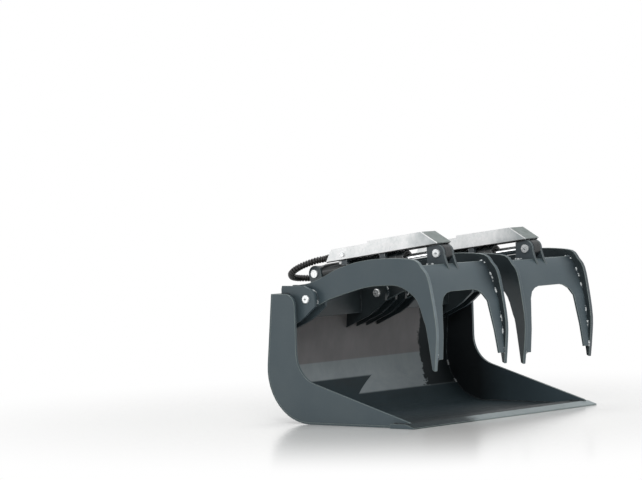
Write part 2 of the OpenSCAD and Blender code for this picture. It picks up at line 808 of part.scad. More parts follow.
module jumper_hose(x) {
    p = [for (q = jumper_line()) q + [x, 0, 0]];
    color(rubber) sweep(p, frames(p, [0, 0, 1]), jumper_d / 2, hose_sides);
}

module jumper_guard(x) {
    p = [for (q = jumper_line()) q + [x, 0, 0]];
    r = (jumper_d + jumper_guard_t) / 2 + wind_gap;
    w = winding(p, frames(p, [0, 0, 1]), r, r, jumper_ends[0], jumper_ends[1]);
    echo(jumper_guard_gap = least_gap(w, jumper_guard_t));
    color(rubber) sweep(w, wind_frames(w), jumper_guard_t / 2, loop_sides);
}

// Pieces on the rear face of the back: y grows away from it, z down from its top edge is negative
module on_back() {
    translate([0, back_y, bucket_h]) rotate([back_lean, 0, 0]) children();
}

// Supply hoses: two runs along the back with one turn between them
supply_gap = 1;
supply_off = 18.5;
run_top = -32;
run_turn = 65;
run_start = 215;
run_bend = -150;
run_end = 80;
guard_start = 203;
guard_pitch = 24;
// Slack of the guard round both hoses
guard_slack_share = 1.05;
turn_rings = 14;
run_rings = 9;

function supply_line(n) = concat(
    [for (i = [0:run_rings]) [run_start + (run_bend - run_start) * i / run_rings, n, run_top]],
    [for (i = [1:turn_rings]) [run_bend - run_turn * sin(180 * i / turn_rings), n,
        run_top - run_turn + run_turn * cos(180 * i / turn_rings)]],
    [for (i = [1:run_rings]) [run_bend + (run_end - fit_gap - run_bend) * i / run_rings, n,
        run_top - 2 * run_turn]]);

module supply_hose(side) {
    p = supply_line(supply_off + side * (supply_d + supply_gap) / 2);
    color(rubber) on_back() sweep(p, frames(p, [0, 1, 0]), supply_d / 2, hose_sides);
}

module supply_guard() {
    a = supply_d * guard_slack_share + supply_gap / 2 + guard_t / 2 + 2 * wind_gap;
    b = supply_d / 2 + guard_t * guard_slack_share;
    w = [for (i = [0:guard_loops * loop_rings])
        let (g = 360 * i / loop_rings)
            [guard_start - guard_pitch * i / loop_rings, supply_off + a * cos(g), run_top + b * sin(g)]];
    echo(supply_guard_gap = least_gap(w, guard_t));
    color(rubber) on_back() sweep(w, wind_frames(w), guard_t / 2, loop_sides);
}

// Clips that hold both hoses to the back: distance along the width and height
clip_w = 10;
clip_rim = 4;
clip_places = [[-142, -32], [-120, -162], [40, -162]];

module hose_clips() {
    h = supply_d / 2 + clip_rim;
    color(steel)
        on_back()
            for (c = clip_places)
                difference() {
                    translate([c[0] - clip_w / 2, fit_gap, c[1] - h])
                        cube([clip_w, supply_off + supply_d + supply_gap + clip_rim, 2 * h]);
                    for (side = [near, far])
                        x_bar(c[0] - clip_w, [supply_off + side * (supply_d + supply_gap) / 2, c[1]],
                            supply_d / 2 + fit_gap, 2 * clip_w);
                }
}

manifold_l = 50;
manifold_d = 40;
manifold_h = 60;
port_r = 9;
port_h = 14;
// Distance of each port from the manifold's middle
port_x = 13.5;

module manifold() {
    x0 = run_start + ferrule_len;
    color(steel)
        on_back() {
            difference() {
                translate([x0, fit_gap, run_top - manifold_h / 2])
                    cube([manifold_l, manifold_d, manifold_h]);
                for (side = [near, far])
                    y_bar(x0 + manifold_l / 2 + side * port_x, manifold_d - port_h,
                        run_top + manifold_h / 4, pipe_r, port_h + cut);
            }
            for (side = [near, far]) {
                n = supply_off + side * (supply_d + supply_gap) / 2;
                x_bar(run_start + fit_gap, [n, run_top], supply_d / 2 + supply_gap / 3, ferrule_len);
                translate([x0 + manifold_l / 2 + side * port_x, manifold_d / 2,
                    run_top - manifold_h / 2 - port_h])
                    cylinder(r = port_r, h = port_h + cut);
            }
        }
}

coupler_l = 60;
coupler_d = 34;
coupler_h = 38;
shelf_t = 6;
nipple_r = 8;

module multi_coupler() {
    z = run_top - 2 * run_turn;
    color(zinc)
        on_back() {
            translate([run_end, supply_off - coupler_d / 2 + fit_gap, z - coupler_h / 2])
                cube([coupler_l, coupler_d, coupler_h]);
            for (side = [near, far])
                x_bar(run_end + coupler_l - cut, [supply_off + side * (nipple_r + supply_gap / 2), z], nipple_r,
                    ferrule_len);
        }
}

module coupler_holder() {
    z = run_top - 2 * run_turn - coupler_h / 2 - fit_gap;
    n = supply_off + coupler_d / 2 + 2 * fit_gap;
    color(dark)
        on_back()
            side_view(run_end, coupler_l)
                polygon([[fit_gap, z - shelf_t], [n + shelf_t, z - shelf_t],
                    [n + shelf_t, z + coupler_h / 2], [n, z + coupler_h / 2], [n, z], [fit_gap, z]]);
}

// The moving bodies' places
module grapple(side) {
    translate([0, hinge[0], hinge[1]])
        rotate([side == far ? far_closed : 0, 0, 0]) children();
}

module cylinder_at(side) {
    translate([0, rear_pin[0], rear_pin[1]])
        rotate([-rod_rise(side == far ? far_closed : 0), 0, 0]) children();
}

near_x = near * grapple_x;
far_x = far * grapple_x;
half = tine_spacing / 2;

side_plate(-bucket_w / 2);  // near_side_plate
side_plate(inner_x);  // far_side_plate
bent_shell();
cutting_edge();
top_beam();
ears(near_x - half);  // near_outer_ears
ears(near_x + half);  // near_inner_ears
ears(far_x - half);  // far_inner_ears
ears(far_x + half);  // far_outer_ears
hinge_pin(near_x - half);  // near_outer_pin
hinge_pin(near_x + half);  // near_inner_pin
hinge_pin(far_x - half);  // far_inner_pin
hinge_pin(far_x + half);  // far_outer_pin
pin_bolts();
bracket(near_x);  // near_bracket
bracket(far_x);  // far_bracket
bracket_pin(near_x);  // near_rear_pin
bracket_pin(far_x);  // far_rear_pin
hitch_plate(-hitch_x - hitch_t / 2);  // near_hitch_plate
hitch_plate(hitch_x - hitch_t / 2);  // far_hitch_plate
hitch_tube();
manifold();
hose_clips();
coupler_holder();
multi_coupler();
supply_hose(near);  // inner_supply_hose
supply_hose(far);  // outer_supply_hose
supply_guard();

grapple(near) tine(near_x - half);  // near_outer_tine
grapple(near) tine(near_x + half);  // near_inner_tine
grapple(near) bushes(near_x);  // near_bushes
grapple(near) cross_plate(near_x);  // near_cross_plate
grapple(near) clevis(near_x);  // near_clevis
grapple(near) clevis_pin(near_x);  // near_rod_pin
grapple(far) tine(far_x - half);  // far_inner_tine
grapple(far) tine(far_x + half);  // far_outer_tine
grapple(far) bushes(far_x);  // far_bushes
grapple(far) cross_plate(far_x);  // far_cross_plate
grapple(far) clevis(far_x);  // far_clevis
grapple(far) clevis_pin(far_x);  // far_rod_pin

cylinder_at(near) barrel(near_x);  // near_barrel
cylinder_at(near) gland(near_x);  // near_gland
cylinder_at(near) cover(near_x);  // near_cover
cylinder_at(near) cover_posts(near_x);  // near_cover_posts
cylinder_at(near) elbow_fitting(near_x);  // near_elbow
cylinder_at(near) valve_block(near_x);  // near_valve_block
cylinder_at(near) jumper_hose(near_x);
cylinder_at(near) jumper_guard(near_x);
cylinder_at(near) rod(near_x, rod_len(0));  // near_rod
cylinder_at(near) piston(near_x);  // near_piston
cylinder_at(far) barrel(far_x);  // far_barrel
cylinder_at(far) gland(far_x);  // far_gland
cylinder_at(far) cover(far_x);  // far_cover
cylinder_at(far) cover_posts(far_x);  // far_cover_posts
cylinder_at(far) elbow_fitting(far_x);  // far_elbow
cylinder_at(far) valve_block(far_x);  // far_valve_block
cylinder_at(far) rod(far_x, rod_len(far_closed));  // far_rod
cylinder_at(far) piston(far_x);  // far_piston
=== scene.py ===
# %% [markdown]
# # A grapple bucket for a compact loader
# The bucket is bent and welded from sheet, and two grapples of curved tines close over it. A packed
# CAD model gives every solid its place and size. This lesson dresses it: it lays the hoses and
# winds their guards, breaks the plates' edges, lays weld beads and gives each surface its finish.

# %% Load the frame
import json
import math
import bpy
import bmesh
from mathutils import Matrix, Vector


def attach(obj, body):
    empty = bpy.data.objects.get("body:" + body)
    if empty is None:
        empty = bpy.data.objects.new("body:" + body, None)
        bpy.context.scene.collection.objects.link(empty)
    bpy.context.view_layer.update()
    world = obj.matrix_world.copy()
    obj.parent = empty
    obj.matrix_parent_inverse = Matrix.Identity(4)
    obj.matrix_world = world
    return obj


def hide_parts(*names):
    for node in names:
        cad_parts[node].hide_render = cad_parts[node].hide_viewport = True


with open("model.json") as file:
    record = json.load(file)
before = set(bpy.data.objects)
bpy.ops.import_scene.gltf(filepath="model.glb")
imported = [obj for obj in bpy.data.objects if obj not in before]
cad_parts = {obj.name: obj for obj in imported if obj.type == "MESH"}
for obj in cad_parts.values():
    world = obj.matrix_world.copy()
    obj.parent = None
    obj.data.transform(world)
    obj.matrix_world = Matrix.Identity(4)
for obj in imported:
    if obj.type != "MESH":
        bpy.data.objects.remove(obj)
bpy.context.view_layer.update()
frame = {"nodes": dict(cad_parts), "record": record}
MM = 0.001


def placed(name, data):
    """A new object in the scene."""
    made = bpy.data.objects.new(name, data)
    bpy.context.scene.collection.objects.link(made)
    return made


# %% [markdown]
# ## The camera
# The photograph was taken with a long lens from about 14 m away, a little above the bucket's top,
# which keeps parallel edges nearly parallel. The place and the lens were fitted to the bucket's own
# edges, so the render lies over the photograph.

# %% Camera
CAMERA_PLACE = Vector((-10.833, -8.595, 1.151))
CAMERA_RIGHT = Vector((0.6417, -0.7664, -0.0288)).normalized()
CAMERA_AHEAD = Vector((0.7655, 0.6424, -0.0364)).normalized()
CAMERA_UP = CAMERA_RIGHT.cross(CAMERA_AHEAD).normalized()

lens = bpy.data.cameras.new("long_lens")
lens.lens = 212.1
lens.sensor_width = 36
lens.clip_end = 200
camera = placed("long_lens", lens)
axes = Matrix((CAMERA_RIGHT, CAMERA_UP, -CAMERA_AHEAD)).transposed()
camera.matrix_world = Matrix.Translation(CAMERA_PLACE) @ axes.to_4x4()
bpy.context.scene.camera = camera
print("camera", [round(v, 2) for v in CAMERA_PLACE], "lens", lens.lens)

# %% [markdown]
# ## Colour and node tools
# Blender's shaders want linear light, while a paint chart gives sRGB hex codes, so one function
# turns a code into linear values. Another adds a node with its settings and links, in a material or
# in Geometry Nodes. A node given as an input stands for its result. Common kinds have short names.

# %% Linear light and nodes
MATH, VECTORS, RANGE = "ShaderNodeMath", "ShaderNodeVectorMath", "ShaderNodeMapRange"
NOISE, AXES = "ShaderNodeTexNoise", "ShaderNodeSeparateXYZ"
MIX = ("ShaderNodeMix", {"data_type": "RGBA"})
TIMES, TIMES_ADD = (MATH, {"operation": "MULTIPLY"}), (MATH, {"operation": "MULTIPLY_ADD"})


def linear(code):
    """Linear light from an sRGB hex code."""
    parts = [int(code[i:i + 2], 16) / 255 for i in (1, 3, 5)]
    return (*(c / 12.92 if c <= 0.04045 else ((c + 0.055) / 1.055) ** 2.4 for c in parts), 1.0)


def result_of(node):
    """The output with a node's result: the first, but a colour mix has it third."""
    return node.outputs[2 if node.bl_idname == MIX[0] else 0]


def put(tree, kind, inputs=None, **settings):
    """Adds a node, sets its properties, and fills or links its inputs by name or number."""
    kind, preset = (kind, {}) if isinstance(kind, str) else kind
    node = tree.nodes.new(kind)
    for name, value in {**preset, **settings}.items():
        setattr(node, name, value)
    for name, value in (inputs or {}).items():
        value = result_of(value) if isinstance(value, bpy.types.Node) else value
        if isinstance(value, bpy.types.NodeSocket):
            tree.links.new(value, node.inputs[name])
        else:
            node.inputs[name].default_value = value
    return node


print("mid grey in linear light:", [round(v, 3) for v in linear("#808080")])

# %% [markdown]
# ## Places on the moving bodies
# The steelwork is drawn from three places: a grapple's hinge, a cylinder's rear pin and the back's
# top edge. These helpers turn millimetres from there into metres in the shared frame, so every
# piece lands where the CAD model says.

# %% Places
SIDES = ("near", "far")
HINGE = (154.575, 447.0)
REAR_PIN = (284.575, 527.0)
BACK_TOP = (297.605, 466.0)
ROD_PIN = (-438, 157)
BACK_LEAN = 5.7
FAR_CLOSED = 1.1
MIDDLE = {"near": -260.0, "far": 260.0}
RISE = {"near": 7.7204, "far": 6.848}


def turned(y, z, degrees):
    a = math.radians(degrees)
    return y * math.cos(a) - z * math.sin(a), y * math.sin(a) + z * math.cos(a)


def on_grapple(side, x, y, z):
    """Point of a grapple: x from its middle, y and z from its hinge."""
    y, z = turned(y, z, FAR_CLOSED if side == "far" else 0)
    return Vector((MIDDLE[side] + x, HINGE[0] + y, HINGE[1] + z)) * MM


def on_cylinder(side, x, y, z):
    """Point of a cylinder: x from its middle, y rearwards and z up from its rear pin."""
    y, z = turned(y, z, -RISE[side])
    return Vector((MIDDLE[side] + x, REAR_PIN[0] + y, REAR_PIN[1] + z)) * MM


def on_back(x, n, z):
    """Point on the back: n off its rear face, z up from its top edge."""
    y, z = turned(n, z, BACK_LEAN)
    return Vector((x, BACK_TOP[0] + y, BACK_TOP[1] + z)) * MM


def on_bucket(x, y, z):
    return Vector((x, y, z)) * MM


def ahead(side):
    """The way a cylinder looks, from its rear pin to its rod."""
    return (on_cylinder(side, 0, -1, 0) - on_cylinder(side, 0, 0, 0)).normalized()


print("near rod pin at", [round(v, 3) for v in on_grapple("near", 0, *ROD_PIN)])

# %% [markdown]
# ## Growing pieces along a path
# Hoses, spiral guards, weld beads and bolts follow a path or repeat, so Geometry Nodes make them. A
# starting mesh holds the path as loose edges, and the tree's named inputs hold the real sizes. What
# grew is turned into a plain mesh, and the helper object with its modifier is thrown away.

# %% Tools for Geometry Nodes
def growing_tree(name, **sizes):
    """A tree with a named input for each size, its default, and the sockets of these inputs."""
    tree = bpy.data.node_groups.new(name, "GeometryNodeTree")
    tree.interface.new_socket("Geometry", in_out="INPUT", socket_type="NodeSocketGeometry")
    kinds = {float: "NodeSocketFloat", int: "NodeSocketInt"}
    for label, value in sizes.items():
        kind = kinds.get(type(value), "NodeSocketMaterial")
        socket = tree.interface.new_socket(label, in_out="INPUT", socket_type=kind)
        socket.default_value = value
    tree.interface.new_socket("Geometry", in_out="OUTPUT", socket_type="NodeSocketGeometry")
    return tree, put(tree, "NodeGroupInput").outputs


def end_tree(tree, result, material, smooth=True):
    """Ends a tree in plain geometry with its shading and its material, and returns it."""
    if smooth:
        result = put(tree, "GeometryNodeSetShadeSmooth", {0: result})
    real = put(tree, "GeometryNodeRealizeInstances", {0: result})
    dressed = put(tree, "GeometryNodeSetMaterial", {0: real, "Material": material})
    put(tree, "NodeGroupOutput", {0: dressed})
    return tree


def add_piece(name, mesh, body):
    """Puts a finished mesh in the scene on its CAD body."""
    piece = placed(name, mesh)
    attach(piece, body)
    return piece


def grow(name, tree, start, body, slot, **sizes):
    """Runs a tree on a starting mesh and adds what grew as a piece with a plain mesh."""
    helper = placed(name + "_helper", start)
    modifier = helper.modifiers.new("growth", "NODES")
    modifier.node_group = tree
    for item in tree.interface.items_tree:
        if item.in_out == "INPUT" and item.name in sizes:
            modifier[item.identifier] = sizes[item.name]
    graph = bpy.context.evaluated_depsgraph_get()
    mesh = bpy.data.meshes.new_from_object(helper.evaluated_get(graph))
    bpy.data.objects.remove(helper)
    mesh.name = name
    return add_piece(name, mesh, body)


def path_mesh(lines):
    """Loose edges along each line of points."""
    points, edges = [], []
    for line in lines:
        first = len(points)
        points += [tuple(p) for p in line]
        edges += [(i, i + 1) for i in range(first, len(points) - 1)]
    mesh = bpy.data.meshes.new("path")
    mesh.from_pydata(points, edges, [])
    return mesh


print("growing tools ready")

# %% [markdown]
# ## Finishes of the hoses
# A hydraulic hose has a matt cover of synthetic rubber. Its spiral guard is extruded polyethylene,
# a little glossier. One builder makes every mottled finish of the lesson: clouds mix two close
# colours, and a fine grain varies the roughness and gives relief. A noise of scale s repeats about
# s times in a metre, so a spot of g mm needs a scale of 1000 / g. The real grain of a hose, like
# the grinding marks on a rod, is finer than the render shows, so it is drawn some millimetres wide.

# %% Mottled finish
def per_mm(size_mm):
    """Pattern scale for a feature of that size."""
    return 1000 / size_mm


def limits(value, low, high, first=0.0, last=1.0):
    """Inputs of a Map Range that turns a value's low..high into first..last."""
    return {"Value": value, "From Min": low, "From Max": high, "To Min": first, "To Max": last}


# most of a noise lies between these values
NOISE_SPAN = (0.3, 0.7)


def spots(where, size_mm, detail=4, rough=0.55):
    """Inputs of a noise with spots of that size."""
    return {"Vector": where, "Scale": per_mm(size_mm), "Detail": detail, "Roughness": rough}


def blend(share, first, second):
    """Inputs of a colour mix between hex codes or earlier nodes."""
    first, second = (linear(c) if isinstance(c, str) else c for c in (first, second))
    return {"Factor": share, 6: first, 7: second}


def empty_finish(name, **fixed):
    """A material with its shader, and the sockets that patterns start from."""
    material = bpy.data.materials.new(name)
    material.use_nodes = True
    tree = material.node_tree
    tree.nodes.clear()
    shader = put(tree, "ShaderNodeBsdfPrincipled", fixed)
    put(tree, "ShaderNodeOutputMaterial", {"Surface": shader})
    where = put(tree, "ShaderNodeTexCoord").outputs["Object"]
    return material, tree, shader, where


def lay_on(shader, colour, gloss, pattern=None, depth_mm=0.0, strength=0.3):
    """Links a colour, a gloss and, where a pattern gives relief, its depth and strength."""
    tree, worn = shader.id_data, {"Base Color": colour, "Roughness": gloss}
    if pattern:
        worn["Normal"] = put(tree, "ShaderNodeBump", {
            "Height": pattern, "Distance": depth_mm * MM, "Strength": strength})
    for name, node in worn.items():
        tree.links.new(result_of(node), shader.inputs[name])


def mottled(name, code, second, spot_mm, rough, spread=0.06, grain_mm=2.2, depth_mm=0.05,
            span=(0.35, 0.68), corner=None, **fixed):
    """Two colours in clouds that change over the span, uneven gloss and a grain of that depth.

    A corner gives a painted-shade colour, and the stretches of X and of Z over which it takes over."""
    material, tree, shader, where = empty_finish(name, **fixed)
    clouds = put(tree, NOISE, spots(where, spot_mm))
    share = put(tree, RANGE, limits(clouds, *span))
    colour = put(tree, MIX, blend(share, code, second))
    if corner:
        shade_colour, across, up = corner
        axes = put(tree, AXES, {0: where})
        high = put(tree, RANGE, limits(axes.outputs["Z"], *up))
        fade = put(tree, RANGE, limits(axes.outputs["X"], *across, 0.0, high))
        colour = put(tree, MIX, blend(fade, colour, shade_colour))
    grain = put(tree, NOISE, spots(where, grain_mm, 3, 0.5))
    gloss = put(tree, RANGE, limits(grain, *NOISE_SPAN, rough - spread, rough + spread))
    lay_on(shader, colour, gloss, grain, depth_mm, 0.4)
    return material


RUBBER = mottled("synthetic_rubber_cover", "#111112", "#1a1918", 20, 0.55, 0.07, 2.5, 0.1)
GUARD = mottled("black_polyethylene_guard", "#111010", "#1d1a17", 14, 0.36, 0.06, 5, 0.08)
print("hose finishes:", RUBBER.name, GUARD.name)

# %% [markdown]
# ## The hoses
# Three hoses carry oil. The jumper hose leaves the elbow under the near cover, loops out behind the
# cylinder and comes back to the valve block on its far side. Two supply hoses run along the back to
# a coupler in its holder. Each has a fixed length, so its line is laid first, and a round tube
# follows.

# %% Routes of the hoses
JUMPER_POINTS = [
    (-12, -97.9, 53), (-12, -84, 53), (-12, -68, 51), (-16, -43.6, 48.2), (-28, -23.4, 46.9),
    (-44, -6.2, 43), (-59, 12.1, 38.1), (-70, 34.2, 31.2), (-73, 57.3, 22.9), (-64, 81.8, 14),
    (-46, 99.8, 8.4), (-22, 115.4, 2.7), (2, 120, -1.5), (23, 117.2, -4.2), (40, 104.7, -6.7),
    (50, 83.2, -9.3), (54, 65.5, -10.6), (55, 34, -8), (56, 10, -4), (56, -20, 0), (56, -50, 3),
    (56, -76, 4), (56, -99.9, 4)]
RUN_START, TURN_AT, RUN_END = 215, -150, 79.9
UPPER_RUN, TURN_RADIUS = -32, 65


def smooth_line(points, steps):
    """A line through the points with that many steps between two of them."""
    line = []
    for i in range(len(points) - 1):
        a, b = Vector(points[max(i - 1, 0)]), Vector(points[i])
        c, d = Vector(points[i + 1]), Vector(points[min(i + 2, len(points) - 1)])
        for k in range(steps):
            t = k / steps
            line.append((2 * b + (c - a) * t + (2 * a - 5 * b + 4 * c - d) * t * t
                         + (3 * b - a - 3 * c + d) * t ** 3) / 2)
    return line + [Vector(points[-1])]


def supply_points(off):
    """Two runs along the back with one turn between them, as in the CAD model."""
    def straight(start, end, z):
        return [(start + (end - start) * i / 9, off, z) for i in range(10)]

    middle = UPPER_RUN - TURN_RADIUS
    bend = [(TURN_AT - TURN_RADIUS * math.sin(math.pi * i / 14), off,
             middle + TURN_RADIUS * math.cos(math.pi * i / 14)) for i in range(1, 15)]
    return [on_back(*p) for p in straight(RUN_START, TURN_AT, UPPER_RUN) + bend
            + straight(TURN_AT, RUN_END, middle - TURN_RADIUS)[1:]]


JUMPER = [on_cylinder("near", *p) for p in smooth_line(JUMPER_POINTS, 8)]
SUPPLY = {"inner": supply_points(11.5), "outer": supply_points(25.5)}


def length_of(line):
    return sum((b - a).length for a, b in zip(line, line[1:]))


print("hose lengths in mm:", round(length_of(JUMPER) * 1000),
      [round(length_of(line) * 1000) for line in SUPPLY.values()])

# %% Tubes along the routes
JUMPER_ACROSS, SUPPLY_ACROSS = 0.016, 0.013
NEAR_BODY = "near_cylinder"


def hose_tree():
    tree, given = growing_tree("hose", Radius=0.008, Sides=20, Cover=RUBBER)
    path = put(tree, "GeometryNodeMeshToCurve", {0: given["Geometry"]})
    ring = put(tree, "GeometryNodeCurvePrimitiveCircle", {
        "Resolution": given["Sides"], "Radius": given["Radius"]})
    tube = put(tree, "GeometryNodeCurveToMesh", {0: path, 1: ring, "Fill Caps": True})
    return end_tree(tree, tube, given["Cover"])


HOSE_TREE = hose_tree()
jumper = grow("jumper_hose_tube", HOSE_TREE, path_mesh([JUMPER]), NEAR_BODY, "hose_rubber",
              Radius=JUMPER_ACROSS / 2)
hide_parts("jumper_hose")
for which, line in SUPPLY.items():
    grow(which + "_supply_tube", HOSE_TREE, path_mesh([line]), "bucket",
                               "hose_rubber", Radius=SUPPLY_ACROSS / 2, Sides=16)
    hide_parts(which + "_supply_hose")

# %% [markdown]
# ## The spiral guards
# A spiral guard is a strip of polyethylene wound round the hose, with a small gap between its
# turns. A helix is one point that runs along the path while it turns round it. The tree samples the
# path at each point's share of the way, and adds the offset along the path's own normal and side
# direction.

# %% A winding along a path
STRIP_PITCH = 0.0105
BARE_START, BARE_END = 0.030, 0.034
PAIR_START, PAIR_RUN, PAIR_OFF = 203, 336, 18.5


def winding_tree():
    tree, given = growing_tree("spiral_guard", Turns=28.0, Wide=0.0104, High=0.0104, Points=900,
                               Strip=0.0041, Thick=0.002, Skin=GUARD)
    path = put(tree, "GeometryNodeMeshToCurve", {0: given["Geometry"]})
    steady = put(tree, "GeometryNodeSetCurveNormal", {0: path}, mode="MINIMUM_TWIST")
    row = put(tree, "GeometryNodeMeshLine", {"Count": given["Points"]})
    order = put(tree, "GeometryNodeInputIndex")
    last = put(tree, MATH, {0: given["Points"], 1: 1.0}, operation="SUBTRACT")
    share = put(tree, MATH, {0: order, 1: last}, operation="DIVIDE")
    along = put(tree, "GeometryNodeSampleCurve", {"Curves": steady, "Factor": share}, mode="FACTOR")
    across = put(tree, VECTORS, {
        0: along.outputs["Tangent"], 1: along.outputs["Normal"]}, operation="CROSS_PRODUCT")
    gone = put(tree, TIMES, {0: share, 1: given["Turns"]})
    angle = put(tree, TIMES, {0: gone, 1: 2 * math.pi})
    swings = []
    for wave, size, way in (("COSINE", "High", along.outputs["Normal"]), ("SINE", "Wide", across)):
        swing = put(tree, MATH, {0: angle}, operation=wave)
        reach = put(tree, TIMES, {0: swing, 1: given[size]})
        swings.append(put(tree, VECTORS, {0: way, "Scale": reach}, operation="SCALE"))
    offset = put(tree, VECTORS, {0: swings[0], 1: swings[1]}, operation="ADD")
    place = put(tree, VECTORS, {0: along.outputs["Position"], 1: offset}, operation="ADD")
    away = put(tree, "GeometryNodeCaptureAttribute", {0: row}, domain="POINT")
    away.capture_items.new("VECTOR", "away")
    tree.links.new(offset.outputs[0], away.inputs[1])
    moved = put(tree, "GeometryNodeSetPosition", {0: away, "Position": place})
    helix = put(tree, "GeometryNodeMeshToCurve", {0: moved})
    facing = put(tree, "GeometryNodeSetCurveNormal", {
        0: helix, "Normal": away.outputs[1]}, mode="FREE")
    ring = put(tree, "GeometryNodeCurvePrimitiveCircle", {"Resolution": 8, "Radius": 1.0})
    size = put(tree, "ShaderNodeCombineXYZ", {0: given["Thick"], 1: given["Strip"], 2: 1.0})
    flat = put(tree, "GeometryNodeTransform", {0: ring, "Scale": size})
    strip = put(tree, "GeometryNodeCurveToMesh", {0: facing, 1: flat, "Fill Caps": True})
    return end_tree(tree, strip, given["Skin"])


def part_of(line, start, end):
    """The stretch of a line between two distances along it."""
    result, gone = [], 0.0
    for a, b in zip(line, line[1:]):
        step = (b - a).length
        if gone + step > start and gone < end:
            low, high = max(0.0, (start - gone) / step), min(1.0, (end - gone) / step)
            if not result:
                result.append(a.lerp(b, low))
            result.append(a.lerp(b, high))
        gone += step
    return result


WINDING_TREE = winding_tree()
guarded = part_of(JUMPER, BARE_START, length_of(JUMPER) - BARE_END)
guard = grow("jumper_spiral_guard", WINDING_TREE, path_mesh([guarded]), NEAR_BODY,
             "guard_plastic", Turns=length_of(guarded) / STRIP_PITCH, Points=1250)
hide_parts("jumper_guard")
run = [on_back(PAIR_START - PAIR_RUN * i / 60, PAIR_OFF, UPPER_RUN) for i in range(61)]
pair_guard = grow("supply_spiral_guard", WINDING_TREE, path_mesh([run]), "bucket",
                  "guard_plastic", Wide=0.0092, High=0.0162, Strip=0.0045, Thick=0.0015)
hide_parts("supply_guard")
print("faces of the guards:", {p.name: len(p.data.polygons) for p in (guard, pair_guard)})

# %% [markdown]
# ## Powder-coated slate paint
# The steelwork is shot-blasted, sprayed with polyester powder and baked. That leaves a thick, even
# skin with a soft sheen and a faint orange-peel, and handling leaves cloudy, slightly duller
# patches. Where the coat runs thin over an edge it looks paler, and that paler edge is also a
# painted highlight. Painted shade darkens the inner faces of the tines and the ears, the top beam,
# each cross plate's far upper corner and the back of the side plates' insides. The near outer
# tine's front edges carry painted light, and the far outer tine's carry painted shade.

# %% Slate powder coat
SLATE_TONES = ("#47545a", "#4e5a5f")
SATIN = {"Specular IOR Level": 0.33}
# painted shade in each cross plate's far upper corner: its colour, stretch of X and stretch of Z
CORNER_SHADE = {side: ("#2b3439", [(MIDDLE[side] + x) * MM for x in (110, 192)], (0.43, 0.50))
                 for side in SIDES}
SIDE_SHADE_ENDS = (0.21, 0.06)
SLATE = mottled("polyester_powder_coat_slate", *SLATE_TONES, 180, 0.43, **SATIN)
# cross plates with painted shade in their far upper corner
SLATE_WITH_CORNER_SHADE = {side: mottled(side + "_slate_soiled_in_the_corner", *SLATE_TONES, 180, 0.43,
                              corner=CORNER_SHADE[side], **SATIN) for side in SIDES}
# also painted shade on the far outer tine's front edges
SLATE_DARK = mottled("polyester_powder_coat_dark", "#3c454a", "#434d52", 120, 0.42)
# painted light on the near outer tine's front edges
LIT_FRONT_SLATE = mottled("powder_coat_with_painted_light_on_front_edges", "#5a676b", "#66737a", 40, 0.36)
# painted shade on the inner faces of the tines and ears and on the top beam
SHADED_SLATE = mottled("powder_coat_with_painted_shade", "#252d30", "#2e373a", 70, 0.36, 0.07)
# a paler coat on edges where it runs thin, which is also a painted highlight
SLATE_EDGE = mottled("powder_coat_thin_on_edges_with_painted_highlight", "#76827f", "#687472", 30, 0.36, 0.05)
# paint over the beads, with painted glints as bright spots
GLINTING_WELD = mottled("powder_coat_over_a_weld_bead_with_painted_glints", "#39444a", "#e6eaea", 18, 0.24, 0.06, 1.5, 0.1,
               span=(0.5, 0.58))
# painted glints on two short beads in the far corner
GLINT_SPOTS = mottled("weld_bead_with_painted_glint_spots", "#8b9496", "#eef0f0", 7, 0.3, 0.06, 1.5, 0.1,
                  span=(0.4, 0.55), Metallic=0.3)
# dark beads of the bucket with weak painted glints
DARK_WELD = mottled("dark_weld_bead_with_weak_painted_glints", "#20282c", "#454f54", 14, 0.3, 0.06, 1.5, 0.1,
                    span=(0.5, 0.66))


def painted_side_shade():
    """Painted shade at the back of the side plates' insides, fading towards the mouth."""
    material, tree, shader, where = empty_finish("powder_coat_with_painted_shade_inside")
    depth = put(tree, AXES, {0: where}).outputs["Y"]
    smears = put(tree, NOISE, spots(where, 90))
    blurred = put(tree, TIMES_ADD, {0: smears, 1: 0.08, 2: depth})
    share = put(tree, RANGE, limits(blurred, *SIDE_SHADE_ENDS))
    colour = put(tree, MIX, blend(share, "#1c2124", "#4a5960"))
    lay_on(shader, colour, put(tree, RANGE, limits(smears, *NOISE_SPAN, 0.36, 0.5)))
    return material


SIDE_SHADE = painted_side_shade()
print("slate finishes:", SLATE.name, SLATE_DARK.name, SLATE_EDGE.name, SIDE_SHADE.name)

# %% [markdown]
# ## Floor and light
# The studio has a pale, slightly glossy floor that fades to white, and large soft lamps. The floor
# keeps the bucket's shadow and a weak mirror image. Only rays from the camera, from gloss and
# through glass see the white backdrop, so it adds no light to the object.

# %% Floor and backdrop
def seen_directly(tree):
    """1 for rays from the camera, from glossy surfaces and through glass, else 0."""
    path = put(tree, "ShaderNodeLightPath")
    glossy = put(tree, MATH, {
        0: path.outputs["Is Camera Ray"], 1: path.outputs["Is Glossy Ray"]}, operation="MAXIMUM")
    return put(tree, MATH, {0: glossy, 1: path.outputs["Is Transmission Ray"]}, operation="MAXIMUM")


FLOOR_HALF, FLOOR_DROP = 30, 0.4 * MM
WHITE_FROM, WHITE_TO = 0.75, 2.2
floor_mesh = bpy.data.meshes.new("studio_floor")
corners = [(x * FLOOR_HALF, y * FLOOR_HALF, -FLOOR_DROP)
           for x, y in ((-1, -1), (1, -1), (1, 1), (-1, 1))]
floor_mesh.from_pydata(corners, [], [(0, 1, 2, 3)])
floor = placed("studio_floor", floor_mesh)

